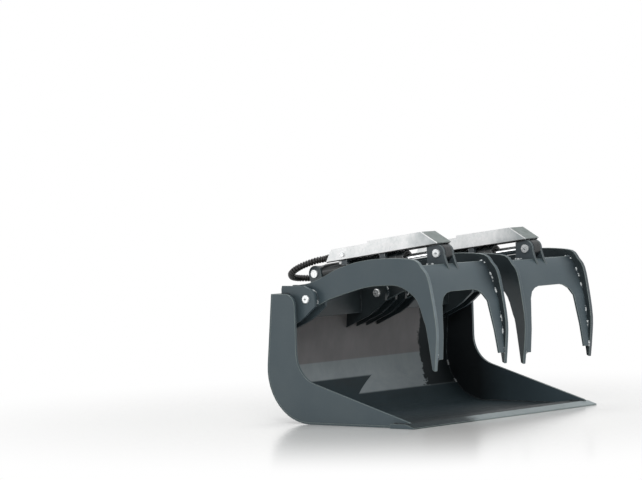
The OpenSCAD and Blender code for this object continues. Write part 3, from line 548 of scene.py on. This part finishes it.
floor_finish, tree, shader, where = empty_finish("pale_lacquered_floor", **{
    "Base Color": linear("#efeeec"), "Roughness": 0.16, "IOR": 1.4, "Specular IOR Level": 0.35})
distance = put(tree, VECTORS, {0: where}, operation="LENGTH").outputs["Value"]
fade = put(tree, RANGE, limits(distance, WHITE_FROM, WHITE_TO), interpolation_type="SMOOTHSTEP")
share = put(tree, TIMES, {0: fade, 1: seen_directly(tree)})
white = put(tree, "ShaderNodeEmission", {"Color": (1, 1, 1, 1), "Strength": 1.0})
mixed = put(tree, "ShaderNodeMixShader", {0: share, 1: shader, 2: white})
output = next(n for n in tree.nodes if n.type == "OUTPUT_MATERIAL")
tree.links.new(mixed.outputs[0], output.inputs["Surface"])
floor_mesh.materials.append(floor_finish)

world = bpy.data.worlds.new("white_backdrop")
bpy.context.scene.world = world
world.use_nodes = True
tree = world.node_tree
tree.nodes.clear()
lit = put(tree, "ShaderNodeBackground", {"Color": (0.95, 0.98, 1.0, 1), "Strength": 0.36})
seen = put(tree, "ShaderNodeBackground", {"Color": (1, 1, 1, 1), "Strength": 1.0})
mixed = put(tree, "ShaderNodeMixShader", {0: seen_directly(tree), 1: lit, 2: seen})
put(tree, "ShaderNodeOutputWorld", {"Surface": mixed})
bpy.context.scene.view_settings.view_transform = "Standard"
print("floor and backdrop ready")

# %% Soft lamps
def soft_lamp(name, place, size, watts, aim=(0, 0, 0.3)):
    lamp = bpy.data.lights.new(name, "AREA")
    lamp.shape = "DISK"
    lamp.size = size
    lamp.energy = watts
    holder = placed(name, lamp)
    turn = (Vector(aim) - Vector(place)).to_track_quat("-Z", "Y")
    holder.matrix_world = Matrix.Translation(place) @ turn.to_matrix().to_4x4()


soft_lamp("key_from_the_front_left", (-5.5, -4.5, 4.5), 3.2, 190)
soft_lamp("fill_from_the_right", (3.0, -7.0, 2.2), 3.5, 88)
soft_lamp("top_panel", (0.5, 0.8, 5.0), 3.5, 115)
soft_lamp("panel_at_the_left_rear", (-6.0, 5.2, 1.4), 3.0, 35)

# %% [markdown]
# ## Paint inside the bucket
# The shell's inside is painted with light and shade. The back keeps a brown-grey film down to the
# bend, the bend carries a painted band of light down to a border with one step in it, and the
# floor is painted dark as shade. At the far end painted shadow also covers the bend and the back.
# The shell is one plate, so these tones follow the height on it, and the borders lie along its
# folds. Dirt keeps it from shining at a low angle.

# %% Inside of the bucket
# the back, the bend with painted light, the floor with painted shade, the far end with painted
# shadow
TONES = (("#7a797a", "#868485"), ("#899295", "#989fa2"),
         ("#242f33", "#2e3a3f"), ("#1a2022", "#23292c"))
FOLDS = (0.198, 0.132, 0.072)
DIRTY = {"Specular IOR Level": 0.18}
STEP_LEAN, STEP_AT = 2.09, -0.2247
FAR_SHADOW_FROM = 0.45
MOUTH_FROM, MOUTH_TO = 0.10, -0.22


def around(value, place, half):
    """Inputs of a Map Range with a short change, from half before a border to half beyond."""
    return limits(value, place - half, place + half)


def paint_inside_with_light_and_shade():
    material, tree, shader, where = empty_finish("inside_coat_with_painted_light_and_shade", **DIRTY)
    axes = put(tree, AXES, {0: where})
    height = axes.outputs["Z"]
    drawn = put(tree, "ShaderNodeMapping", {"Vector": where, "Scale": (1.0, 4.0, 0.35)})
    smears = put(tree, NOISE, spots(drawn, 60, 5, 0.6))
    film = put(tree, RANGE, limits(smears, 0.32, 0.7))
    back, lit_bend, shaded_floor_tone, far_shadow_tone = [put(tree, MIX, blend(film, *pair)) for pair in TONES]
    over_bend = put(tree, RANGE, around(height, FOLDS[0], 0.002))
    wall = put(tree, MIX, blend(over_bend, lit_bend, back))
    slant = put(tree, TIMES_ADD, {0: height, 1: -STEP_LEAN, 2: axes.outputs["X"]})
    border = put(tree, RANGE, limits(slant, STEP_AT - 0.004, STEP_AT + 0.004, -FOLDS[1], -FOLDS[2]))
    above = put(tree, MATH, {0: height, 1: border}, operation="ADD")
    over_floor = put(tree, RANGE, around(above, 0, 0.003))
    # the floor is painted darker towards the mouth, as painted shade
    mouth = put(tree, RANGE, limits(axes.outputs["Y"], MOUTH_FROM, MOUTH_TO))
    ground = put(tree, MIX, blend(mouth, shaded_floor_tone, "#192124"))
    plate = put(tree, MIX, blend(over_floor, ground, wall))
    # painted shadow over the far end of the bend and the back
    ragged = put(tree, TIMES_ADD, {0: smears, 1: 0.2, 2: axes.outputs["X"]})
    far_shadow = put(tree, RANGE, around(ragged, FAR_SHADOW_FROM, 0.006))
    far_shadow_above_floor = put(tree, TIMES, {0: far_shadow, 1: over_floor})
    colour = put(tree, MIX, blend(far_shadow_above_floor, plate, far_shadow_tone))
    gloss = put(tree, RANGE, limits(smears, *NOISE_SPAN, 0.45, 0.65))
    lay_on(shader, colour, gloss, smears, 0.1)
    return material


INSIDE_LIGHT_AND_SHADE = paint_inside_with_light_and_shade()
print("inside finish:", INSIDE_LIGHT_AND_SHADE.name)

# %% [markdown]
# ## Bare and plated metals
# Hot-dip galvanised sheet shows a spangle of zinc crystals some 10 mm across. It dulls toward the
# covers' front, their sloping front lip carries painted shade, and a painted highlight runs along
# their front corner. Bright zinc plating on pins is even and soft-mirrored, and a hard-chromed rod
# is ground smooth. Their colour sits mostly in the reflection, and the roughness tells them apart.

# %% Metals
DULL_FROM, DULL_TO, DULLEST = -0.06, -0.20, 0.7
COVER_CORNER = [(523.3, 84.0), (588.0, 37.4)]
CORNER_WIDTH = 4.5 * MM


def galvanised(side):
    """Spangled zinc, duller toward the front, with a painted highlight along the front corner."""
    material, tree, shader, where = empty_finish(side + "_hot_dip_galvanised_sheet", Metallic=0.4)
    crystals = put(tree, "ShaderNodeTexVoronoi", {
        "Vector": where, "Scale": per_mm(11), "Randomness": 1.0})
    tone = put(tree, "ShaderNodeSeparateColor", {0: crystals.outputs["Color"]})
    clouds = put(tree, NOISE, spots(where, 60, 4, 0.5))
    both = put(tree, TIMES_ADD, {0: tone, 1: 0.35, 2: clouds})
    share = put(tree, RANGE, limits(both, 0.3, 0.95))
    clean = put(tree, MIX, blend(share, "#dce0e0", "#ffffff"))
    depth = put(tree, AXES, {0: where}).outputs["Y"]
    uneven = put(tree, TIMES_ADD, {0: clouds, 1: 0.16, 2: depth})
    front = put(tree, RANGE, limits(uneven, DULL_FROM, DULL_TO, 0.0, DULLEST))
    sheet = put(tree, MIX, blend(front, clean, "#8f989a"))
    # a white band along the front corner is a painted highlight
    top, foot = (on_cylinder(side, 0, -y, z) for y, z in COVER_CORNER)
    across = Vector((0, foot.z - top.z, top.y - foot.y)).normalized()
    off = put(tree, VECTORS, {0: where, 1: across}, operation="DOT_PRODUCT")
    start = across.dot(top) - CORNER_WIDTH
    corner = put(tree, RANGE, limits(off.outputs["Value"], start, start + 0.4 * CORNER_WIDTH))
    colour = put(tree, MIX, blend(corner, sheet, "#ffffff"))
    lay_on(shader, colour, put(tree, RANGE, limits(tone, 0, 1, 0.36, 0.48)), clouds, 0.3)
    return material


GALVANISED = {side: galvanised(side) for side in SIDES}
# painted shade on the covers' sloping front lip
SHADED_LIP = mottled("galvanised_lip_with_painted_shade", "#7c8482", "#6c7472", 30, 0.5, 0.06, 6,
                 Metallic=0.35)
FOLD_EDGE = mottled("cut_edge_of_galvanised_sheet", "#6b7273", "#868d8e", 12, 0.3, 0.05, 4, 0.03,
                    Metallic=0.8)
# painted highlight along the covers' front corner
FOLD_HIGHLIGHT = mottled("galvanised_corner_with_painted_highlight", "#ffffff", "#f0f2f2", 14, 0.3, 0.05, 4,
                   0.03, Metallic=0.1)
ZINC = mottled("bright_zinc_plating", "#f6f7f7", "#dcdfe0", 9, 0.26, 0.04, 5, 0.02, Metallic=0.5)
CHROME = mottled("ground_hard_chrome", "#f1f3f4", "#e3e6e8", 25, 0.09, 0.02, 8, 0.01, Metallic=1.0)
TURNED = mottled("turned_free_cutting_steel", "#a9acad", "#959899", 6, 0.32, 0.05, 3, 0.03,
                 Metallic=1.0)
print("metals:", GALVANISED["near"].name, ZINC.name, CHROME.name, TURNED.name)

# %% [markdown]
# ## Worn edge and black parts
# The cutting edge is painted at first. Ground and gravel rub its bevel to bare steel, so a noisy
# border along the depth separates the painted top from the bevel. The bevel is dark over its near
# third and light over the rest. Cylinders wear glossy black enamel, and their wiper seals are
# nitrile rubber.

# %% Worn and black finishes
GROUND_DULL = {"Specular IOR Level": 0.2}
EDGE_BORDER = -0.320
BEVEL_DARK_UNTIL, BEVEL_LIGHT_FROM = -0.16, -0.10


def worn_edge():
    material, tree, shader, where = empty_finish("slate_paint_worn_to_steel", **GROUND_DULL)
    axes = put(tree, AXES, {0: where})
    chips = put(tree, NOISE, spots(where, 25, 6, 0.65))
    border = put(tree, TIMES_ADD, {0: chips, 1: 0.006, 2: axes.outputs["Y"]})
    bare = put(tree, RANGE, limits(border, EDGE_BORDER + 0.004, EDGE_BORDER))
    along = put(tree, TIMES_ADD, {0: chips, 1: 0.12, 2: axes.outputs["X"]})
    drift = put(tree, RANGE, limits(along, BEVEL_DARK_UNTIL, BEVEL_LIGHT_FROM))
    bevel = put(tree, MIX, blend(drift, "#2f393c", "#8d9799"))
    colour = put(tree, MIX, blend(bare, "#1d2528", bevel))
    metal = put(tree, TIMES, {0: bare, 1: 0.5})
    tree.links.new(metal.outputs[0], shader.inputs["Metallic"])
    gloss = put(tree, RANGE, limits(chips, *NOISE_SPAN, 0.45, 0.6))
    lay_on(shader, colour, gloss, chips, 0.2, 0.4)
    return material


WORN = worn_edge()
BLACK_ENAMEL = mottled("black_chassis_enamel", "#15191b", "#22282a", 40, 0.3, 0.07, 3, 0.04)
SEAL = mottled("nitrile_wiper_seal", "#141414", "#1d1d1c", 10, 0.5, 0.06, 3)
print("dark finishes:", WORN.name, BLACK_ENAMEL.name, SEAL.name)

# %% [markdown]
# ## Broken edges
# Laser-cut plates are ground a little along their edges before coating, and the coat thins there
# and catches the light. Each CAD solid is copied, its loose triangles are merged, and its sharp
# edges get a chamfer of the real size in a slightly lighter, smoother coat, which stands for the
# thin coat and is also a painted highlight. Some faces of a solid wear another finish, so a small
# function picks each face's material slot from its place and direction.

# %% Break the edges of a solid
BODY_OF = {n: b for b, names in frame["record"]["behaviour"]["bodies"].items() for n in names}
SLOT_OF = {s["node"]: s["material_slot"] for s in frame["record"]["subparts"]}
SAME_POINT = 0.002 * MM
FLAT, SHARP, SOFT, BENT = (math.radians(degrees) for degrees in (0.3, 30, 25, 8))


def broken(node, edge_mm, coat, edge_coat, pick=None, more=(), rim_pick=None, crease=SOFT):
    """A merged copy of a CAD node with chamfered edges, which stands for it."""
    source = frame["nodes"][node].data
    build = bmesh.new()
    points = [build.verts.new(v.co) for v in source.vertices]
    for polygon in source.polygons:
        build.faces.new([points[i] for i in polygon.vertices])
    bmesh.ops.remove_doubles(build, verts=build.verts[:], dist=SAME_POINT)
    bmesh.ops.dissolve_limit(build, angle_limit=FLAT, verts=build.verts[:], edges=build.edges[:])
    sharp = [e for e in build.edges if len(e.link_faces) == 2 and e.calc_face_angle() > SHARP]
    made = bmesh.ops.bevel(build, geom=sharp, offset=edge_mm * MM, segments=2, profile=0.6,
                           affect="EDGES", clamp_overlap=True, material=1)
    rim = set(made["faces"])
    for face in build.faces:
        face.smooth = True
        chooser = rim_pick if face in rim else pick
        if chooser:
            face.material_index = chooser(face.calc_center_median(), face.normal)
    for edge in build.edges:
        if len(edge.link_faces) == 2:
            a, b = edge.link_faces
            edge.smooth = (a in rim) == (b in rim) and edge.calc_face_angle() < crease
    mesh = bpy.data.meshes.new(node + "_finished")
    build.to_mesh(mesh)
    build.free()
    for material in (coat, edge_coat, *more):
        mesh.materials.append(material)
    piece = add_piece(node + "_finished", mesh, BODY_OF[node])
    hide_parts(node)
    return piece


def slot_if(test, slot=2, other=0):
    """Chooses a face's material slot by a test of its middle p and its direction n.

    Slot 0 is the coat, 1 the coat of the edges, and more finishes follow."""
    return lambda p, n: slot if test(p, n) else other


INSIDE_MIDDLE = Vector((0, 0, 0.26))
inner_shell = slot_if(lambda p, n: n.yz.dot((INSIDE_MIDDLE - p).yz) > 0 and abs(n.x) < 0.5)
inner_side = slot_if(lambda p, n: abs(n.x) > 0.9 and n.x * p.x < 0)
side_faces = slot_if(lambda p, n: abs(n.x) > 0.9)
for side in SIDES:
    # the side plates' inner faces get painted shade towards the back
    broken(side + "_side_plate", 1.2, SLATE, SLATE_EDGE, inner_side, [SIDE_SHADE])
# the shell's inside gets painted light and shade
broken("bent_shell", 0.8, SLATE, SLATE_EDGE, inner_shell, [INSIDE_LIGHT_AND_SHADE], crease=BENT)
broken("cutting_edge", 0.8, WORN, SLATE_EDGE, side_faces, [SLATE])
# the top beam is coated in painted shade
broken("top_beam", 2.0, SHADED_SLATE, SLATE_DARK)

# %% Edges of the smaller plates
POST_HALF = 0.0372
EYE_RADIUS = 0.034
FRONT_FROM = -0.29
for side in SIDES:
    outward, middle, slope = (-1 if side == "near" else 1), MIDDLE[side] * MM, ahead(side)
    rod_pin = on_grapple(side, 0, *ROD_PIN)
    # the side faces that look to the bucket's middle get painted shade
    shaded_inward = slot_if(lambda p, n: n.x * outward < -0.9)
    is_front = slot_if(lambda p, n: p.y < FRONT_FROM and abs(n.x) < 0.5 and n.y < -0.3, 3)
    # the bolts stand out beside their posts
    bolt_ends = slot_if(lambda p, n: abs(p.x - middle) > POST_HALF)
    shaded_lip_faces = slot_if(lambda p, n: n.dot(slope) > 0.3)
    highlighted_corner_rim = slot_if(lambda p, n: abs(n.x) > 0.2 and n.dot(slope) > 0.2, 3, 1)
    enamelled_eye = slot_if(lambda p, n: (rod_pin - p).yz.length < EYE_RADIUS)
    for part, *finish in (
            ("outer_ears", 0.9, SLATE, SLATE_EDGE, shaded_inward, [SHADED_SLATE]),
            # the inner ears are coated in painted shade
            ("inner_ears", 0.9, SHADED_SLATE, SLATE_DARK),
            # outer tines: painted shade on inward faces; front edges with painted light on the near
            # grapple and painted shade on the far one
            ("outer_tine", 1.3, SLATE, SLATE_EDGE, lambda p, n: is_front(p, n) or shaded_inward(p, n),
             [SHADED_SLATE, LIT_FRONT_SLATE if side == "near" else SLATE_DARK]),
            # inner tines: painted shade on both side faces
            ("inner_tine", 1.3, SLATE, SLATE_EDGE, side_faces, [SHADED_SLATE]),
            # cross plates: painted shade in the far upper corner
            ("cross_plate", 1.3, SLATE_WITH_CORNER_SHADE[side], SLATE_EDGE),
            ("bracket", 0.9, SLATE_DARK, SLATE_EDGE), ("hitch_plate", 0.9, SLATE_DARK, SLATE_EDGE),
            ("cover_posts", 0.4, SLATE_DARK, ZINC, bolt_ends, [ZINC]),
            ("clevis", 0.9, SLATE_DARK, SLATE_EDGE), ("bushes", 1.0, SLATE, SLATE_EDGE),
            # covers: painted shade on the sloping front lip and a painted highlight along the front
            # corner
            ("cover", 1.2, GALVANISED[side], FOLD_EDGE, shaded_lip_faces, [SHADED_LIP, FOLD_HIGHLIGHT],
             highlighted_corner_rim),
            ("barrel", 1.0, BLACK_ENAMEL, BLACK_ENAMEL), ("gland", 1.0, BLACK_ENAMEL, BLACK_ENAMEL),
            ("rod", 1.0, CHROME, BLACK_ENAMEL, enamelled_eye, [BLACK_ENAMEL]),
            ("outer_pin", 0.5, ZINC, ZINC), ("inner_pin", 0.5, ZINC, ZINC),
            ("rear_pin", 0.5, ZINC, ZINC), ("rod_pin", 0.5, ZINC, ZINC),
            ("valve_block", 0.8, TURNED, TURNED), ("elbow", 0.4, ZINC, ZINC)):
        broken(f"{side}_{part}", *finish)
for node, coat in (("hitch_tube", SLATE_DARK), ("coupler_holder", SLATE_DARK), ("manifold", TURNED),
                   ("hose_clips", ZINC), ("pin_bolts", ZINC)):
    broken(node, 0.5, coat, SLATE_EDGE if coat == SLATE_DARK else coat)
coupler = broken("multi_coupler", 0.8, ZINC, ZINC)

# %% [markdown]
# ## Rubber edging of the covers
# A folded cover would rattle and cut the hoses, so its lower edges carry a black rubber edging,
# which also closes the slit above the barrel. It follows each edge from the rear to the front lip,
# so the tube tree of the hoses draws it.

# %% Edging along the covers
EDGING_ENDS, EDGING_X, EDGING_Z, EDGING_RADIUS = (-70, -582), 39.0, 32.4, 0.0019
for side in SIDES:
    edges = [[on_cylinder(side, hand * EDGING_X, y, EDGING_Z) for y in EDGING_ENDS]
             for hand in (-1, 1)]
    grow(side + "_cover_edging", HOSE_TREE, path_mesh(edges), side + "_cylinder", "hose_rubber",
         Radius=EDGING_RADIUS, Sides=12)

# %% [markdown]
# ## Weld beads
# Each bead is a row of overlapping ripples, where the welder's puddle froze step by step. The long
# seams are stitched: short beads with gaps between, which keeps the plates from warping. One ripple
# is set on every few millimetres of the seam and turned along it. Paint covers the beads of the
# grapples, and bright spots on their crests are painted glints. The beads of the bucket are dark,
# with weaker painted glints.

# %% A row of ripples along a seam
def weld_tree():
    tree, given = growing_tree("weld_bead", Half=0.003, Step=0.0035, Seed=1, Skin=GLINTING_WELD)
    seam = put(tree, "GeometryNodeMeshToCurve", {0: given["Geometry"]})
    steps = put(tree, "GeometryNodeResampleCurve", {
        0: seam, "Length": given["Step"]}, mode="LENGTH")
    way = put(tree, "GeometryNodeInputTangent")
    turn = put(tree, "FunctionNodeAlignRotationToVector", {"Vector": way}, axis="X")
    ripple = put(tree, "GeometryNodeMeshUVSphere", {"Segments": 8, "Rings": 6, "Radius": 1.0})
    small = put(tree, "FunctionNodeRandomValue", {
        2: 0.85, 3: 1.1, "Seed": given["Seed"]}, data_type="FLOAT")
    size = put(tree, TIMES, {0: small.outputs[1], 1: given["Half"]})
    short = put(tree, TIMES, {0: size, 1: 0.85})
    shape = put(tree, "ShaderNodeCombineXYZ", {0: short, 1: size, 2: size})
    beads = put(tree, "GeometryNodeInstanceOnPoints", {
        "Points": steps, "Instance": ripple, "Rotation": turn, "Scale": shape})
    return end_tree(tree, beads, given["Skin"])


def stitches(line, bead_mm, pitch_mm, first_mm=8):
    """Short beads with gaps along a seam of points in metres."""
    whole, start, parts = length_of(line), first_mm * MM, []
    while start < whole:
        uneven = 1 + 0.25 * math.sin(len(parts) * 2.4)
        parts.append(part_of(line, start, min(start + bead_mm * uneven * MM, whole)))
        start += pitch_mm * (2 - uneven) * MM
    return [p for p in parts if len(p) > 1 and length_of(p) > 0.006]


WELD_TREE = weld_tree()
print("weld tree has", len(WELD_TREE.nodes), "nodes")

# %% Seams of the grapples
FACE = [(-390.2, 115.0), (-470.1, 119.1), (-491.7, 98.0), (-512.3, 52.9), (-537.8, -21.9),
        (-552.2, -127.0), (-557.8, -208.9)]
UNDER = [(-390.0, 106.2), (-463.0, 110.0), (-484.0, 94.5), (-504.5, 50.0), (-529.8, -24.0),
         (-544.0, -128.0), (-549.6, -209.0)]
TINES = (-201.5, 201.5)
TINE_SEAM, CLEVIS_SEAM, BUSH_RADIUS, HALF_PLATE = 192.8, 30.6, 31.8, 8.2


def arc(y, z, radius, degrees):
    """Points on a circle round (y, z), one for each angle."""
    return [(y + radius * math.cos(math.radians(a)), z + radius * math.sin(math.radians(a)))
            for a in degrees]


def grapple_seams(side):
    def at(x, points):
        return [on_grapple(side, x, *p) for p in points]

    seams = []
    for hand in (-1, 1):
        for line in (FACE, UNDER):
            seams += stitches(at(hand * TINE_SEAM, line), bead_mm=26, pitch_mm=70, first_mm=65)
        seams.append(at(hand * CLEVIS_SEAM, [(-393, 116.2), (-419, 117.5)]))
        seams.append(at(hand * CLEVIS_SEAM, [(-393, 104.6), (-414, 105.8)]))
    for tine in TINES:
        for x in (tine - HALF_PLATE, tine + HALF_PLATE):
            seams.append(at(x, arc(0, 0, BUSH_RADIUS, range(14, 212, 6))))
    return seams


for side in SIDES:
    name = side + "_grapple_welds"
    # the grapple beads have painted glints
    welds = grow(name, WELD_TREE, path_mesh(grapple_seams(side)), side + "_grapple",
                 "slate_paint", Half=0.0043, Step=0.0047, Seed=3)
    print(name, len(welds.data.polygons), "faces")

# %% Seams of the bucket
BEAM_SEAM, BACK_TOP_SEAM = 230.8, 466.8
BEND = (132.0, 192.0)
SIDE_SEAM, EDGE_SEAM = 513.8, 526.0
HITCH_MIDDLE, TUBE_END, TUBE_RING = 310, 301.6, (353.15, 153.6, 24.6)
EAR_FACES, BRACKET_FACES = (-36.6, -23.4, 23.4, 36.6), (-31.8, -18.8, 18.8, 31.8)


def bend_points(radius, first):
    """Corners of the bend's flats, counted from the floor up."""
    return arc(*BEND, radius, [-90 + (90 + BACK_LEAN) * k / 12 for k in range(first, 13)])


INSIDE = [(-248, 6.6)] + bend_points(185.4, 0) + [(300.6, 370)]
OUTSIDE = bend_points(192.6, 7) + [(305.8, 390.0)]


def across(x, points):
    """A seam in the plane at x."""
    return [on_bucket(x, *p) for p in points]


def bucket_seams():
    seams = []
    for hand in (-1, 1):
        seams.append(across(hand * SIDE_SEAM, INSIDE))
        for x in (hand * SIDE_SEAM, hand * EDGE_SEAM):
            seams.append(across(x, [(-322, 16.8), (-258, 16.8)]))
        for x in (hand * HITCH_MIDDLE - HALF_PLATE, hand * HITCH_MIDDLE + HALF_PLATE):
            seams.append(across(x, OUTSIDE))
        seams.append(across(hand * TUBE_END, arc(*TUBE_RING, range(0, 361, 12))))
        for tine in TINES:
            for x in (hand * MIDDLE["far"] + tine + ear_x for ear_x in EAR_FACES):
                seams.append(across(x, [(BEAM_SEAM, 378), (BEAM_SEAM, 462)]))
                seams.append(across(x, [(236, BACK_TOP_SEAM), (268, BACK_TOP_SEAM)]))
        for x in (hand * MIDDLE["far"] + plate_x for plate_x in BRACKET_FACES):
            seams.append(across(x, [(250, BACK_TOP_SEAM), (294, BACK_TOP_SEAM)]))
    seams.append([on_bucket(x, -252.6, 7.2) for x in (-512, 512)])
    back = [on_bucket(x, 299.4, 372.6) for x in (-510, 510)]
    seams += stitches(back, bead_mm=50, pitch_mm=110)
    seams.append([on_back(x, 0.6, -187.4) for x in (82, 138)])
    return seams


# dark beads with weak painted glints
welds = grow("bucket_welds", WELD_TREE, path_mesh(bucket_seams()), "bucket",
             "slate_paint", Half=0.0028, Step=0.0042, Seed=7, Skin=DARK_WELD)
print("bucket_welds", len(welds.data.polygons), "faces")

# %% Beads with painted glints in the far corner
GLINT_SEAM, GLINT_RADIUS = 512.8, 184.6
GLINT_STRETCHES = [(9, 0.004, 0.019), (6, 0.006, 0.019)]
glint_seams = [part_of(across(GLINT_SEAM, bend_points(GLINT_RADIUS, first)), start, end)
           for first, start, end in GLINT_STRETCHES]
welds = grow("welds_with_painted_glints", WELD_TREE, path_mesh(glint_seams), "bucket",
             "slate_paint", Half=0.0036, Step=0.0045, Seed=5, Skin=GLINT_SPOTS)
print("welds_with_painted_glints", len(welds.data.polygons), "faces")

# %% [markdown]
# ## Bolts, nipples and seals
# Hexagon bolts hold the manifold, the hose clips and the valve blocks. One tree sets the same head
# on every point of a mesh and turns it along an attribute that says which way the bolt looks. A
# head is a hexagonal prism on a thin round washer.

# %% Bolt heads on points
def bolt_tree():
    tree, given = growing_tree("hexagon_bolts", Corner=0.0062, Height=0.0045, Washer=0.0078,
                               Metal=ZINC)
    aim = put(tree, "GeometryNodeInputNamedAttribute", {"Name": "aim"}, data_type="FLOAT_VECTOR")
    turn = put(tree, "FunctionNodeAlignRotationToVector", {"Vector": aim}, axis="Z")
    top, edge, rim = (put(tree, TIMES, {0: given[size], 1: share})
                      for size, share in (("Corner", 0.86), ("Height", 0.78), ("Height", 0.22)))
    body = put(tree, "GeometryNodeMeshCone", {
        "Vertices": 6, "Radius Top": given["Corner"], "Radius Bottom": given["Corner"],
        "Depth": edge})
    crown = put(tree, "GeometryNodeMeshCone", {
        "Vertices": 6, "Radius Top": top, "Radius Bottom": given["Corner"], "Depth": rim})
    up = put(tree, "ShaderNodeCombineXYZ", {2: edge})
    lifted = put(tree, "GeometryNodeTransform", {0: crown, "Translation": up})
    washer = put(tree, "GeometryNodeMeshCylinder", {
        "Vertices": 24, "Radius": given["Washer"], "Depth": 0.0016})
    head = put(tree, "GeometryNodeJoinGeometry")
    for made in (body, lifted, washer):
        tree.links.new(made.outputs[0], head.inputs[0])
    bolts = put(tree, "GeometryNodeInstanceOnPoints", {
        "Points": given["Geometry"], "Instance": head, "Rotation": turn})
    return end_tree(tree, bolts, given["Metal"], smooth=False)


def aimed_points(places):
    """Points that each carry the direction their bolt looks in."""
    mesh = bpy.data.meshes.new("bolt_places")
    mesh.from_pydata([tuple(p) for p, _ in places], [], [])
    aim = mesh.attributes.new("aim", "FLOAT_VECTOR", "POINT")
    for i, (_, way) in enumerate(places):
        aim.data[i].vector = way
    return mesh


BOLT_TREE = bolt_tree()
OFF_BACK = (on_back(0, 1, 0) - on_back(0, 0, 0)).normalized()
back_bolts = [(on_back(x, 40.3, z), OFF_BACK) for x in (245, 275) for z in (-50, -22)]
grow("manifold_bolts", BOLT_TREE, aimed_points(back_bolts), "bucket", "zinc_plated_steel")
OUTWARD = Vector((1, 0, 0))
for side in SIDES:
    places = [(on_cylinder(side, 71.4, -108 - 18 * i, 4 + 40 * k), OUTWARD)
              for i in (0, 1) for k in (0, 1)]
    grow(side + "_valve_bolts", BOLT_TREE, aimed_points(places), side + "_cylinder",
         "zinc_plated_steel", Corner=0.0048, Washer=0.006)

# %% [markdown]
# ## Turned details
# Grease nipples, wiper seals and hose ferrules are turned parts: a profile spun round an axis. A
# short function spins radius and height pairs into a closed mesh with outward faces.

# %% Turned parts
def spun(name, parts, material, body, sides=28):
    """Each part is a place, an axis and a closed profile of radius and height in mm."""
    build = bmesh.new()
    for place, axis, profile in parts:
        turn = axis.to_track_quat("Z", "Y")
        rings = []
        for r, h in profile:
            spin = sides if r > 0 else 1
            angles = [2 * math.pi * k / spin for k in range(spin)]
            rings.append([build.verts.new(place + turn @ Vector((
                r * MM * math.cos(a), r * MM * math.sin(a), h * MM))) for a in angles])
        for low, high in zip(rings, rings[1:] + ([rings[0]] if len(rings[0]) > 1 else [])):
            for k in range(sides):
                corners = [low[k % len(low)], low[(k + 1) % len(low)],
                           high[(k + 1) % len(high)], high[k % len(high)]]
                unique = list(dict.fromkeys(corners))
                if len(unique) > 2:
                    build.faces.new(unique)
    bmesh.ops.recalc_face_normals(build, faces=build.faces[:])
    for face in build.faces:
        face.smooth = True
    for edge in build.edges:
        edge.smooth = len(edge.link_faces) == 2 and edge.calc_face_angle() < math.radians(35)
    mesh = bpy.data.meshes.new(name)
    build.to_mesh(mesh)
    build.free()
    mesh.materials.append(material)
    return add_piece(name, mesh, body)


NIPPLE = [(0, -1.0), (3.6, -1.0), (3.6, 1.2), (2.2, 1.6), (2.0, 3.2), (2.6, 4.0), (2.2, 5.0),
          (0, 5.2)]
SEAL_PROFILE = [(15.4, 0), (24, 0), (24, 0.8), (19.5, 2.6), (16.2, 2.6), (15.4, 1.8)]
LEFT = -OUTWARD
PIN_END = -44.05
heads = [(on_bucket(MIDDLE[s] + t + PIN_END, *HINGE), LEFT, NIPPLE) for s in SIDES for t in TINES]
spun("hinge_pin_nipples", heads, TURNED, "bucket", 12)
for side in SIDES:
    spun(side + "_rod_pin_nipple", [(on_grapple(side, -38.1, *ROD_PIN), LEFT, NIPPLE)], TURNED,
         side + "_grapple", 12)
    spun(side + "_wiper_seal", [(on_cylinder(side, 0, -417.2, 0), ahead(side), SEAL_PROFILE)], SEAL,
         side + "_cylinder", 40)
print("turned details ready")

# %% [markdown]
# ## Hose ferrules
# A hose ends in a steel ferrule that is crimped on in eight or so flats, so it stays round at its
# ends and is pressed in between. The spun profile has the pressed waist and a hexagon nut's collar.

# %% Ferrules
FERRULE = [(8.1, 0), (11.2, 0), (11.6, 1), (11.6, 4), (10.7, 6), (10.7, 18), (11.6, 20), (11.6, 23),
           (11.2, 24), (8.1, 24)]
ends = []
for line in (JUMPER, JUMPER[::-1]):
    way = (line[1] - line[0]).normalized()
    ends.append((line[0] + way * 0.3 * MM, way, FERRULE))
spun("jumper_ferrules", ends, ZINC, NEAR_BODY, 24)
print("ferrules on both ends of the jumper hose")

# %% [markdown]
# ## The remaining solids
# The pistons are hidden in their barrels and keep their CAD solids. Every solid gets the finish of
# its real material in its material slot, also those that another piece stands for.

# %% Finishes of the carried-over solids
CARRIED = {
    "machined_steel": TURNED, "zinc_plated_steel": ZINC, "slate_paint": SLATE_DARK,
    "black_paint": BLACK_ENAMEL, "galvanised_steel": GALVANISED["near"], "chromed_rod": CHROME,
    "edge_steel": WORN, "hose_rubber": RUBBER, "guard_plastic": GUARD}
for name, node in frame["nodes"].items():
    node.data.materials.clear()
    node.data.materials.append(CARRIED[SLOT_OF[name]])
print("carried over:", len(frame["nodes"]), "solids have a finish")
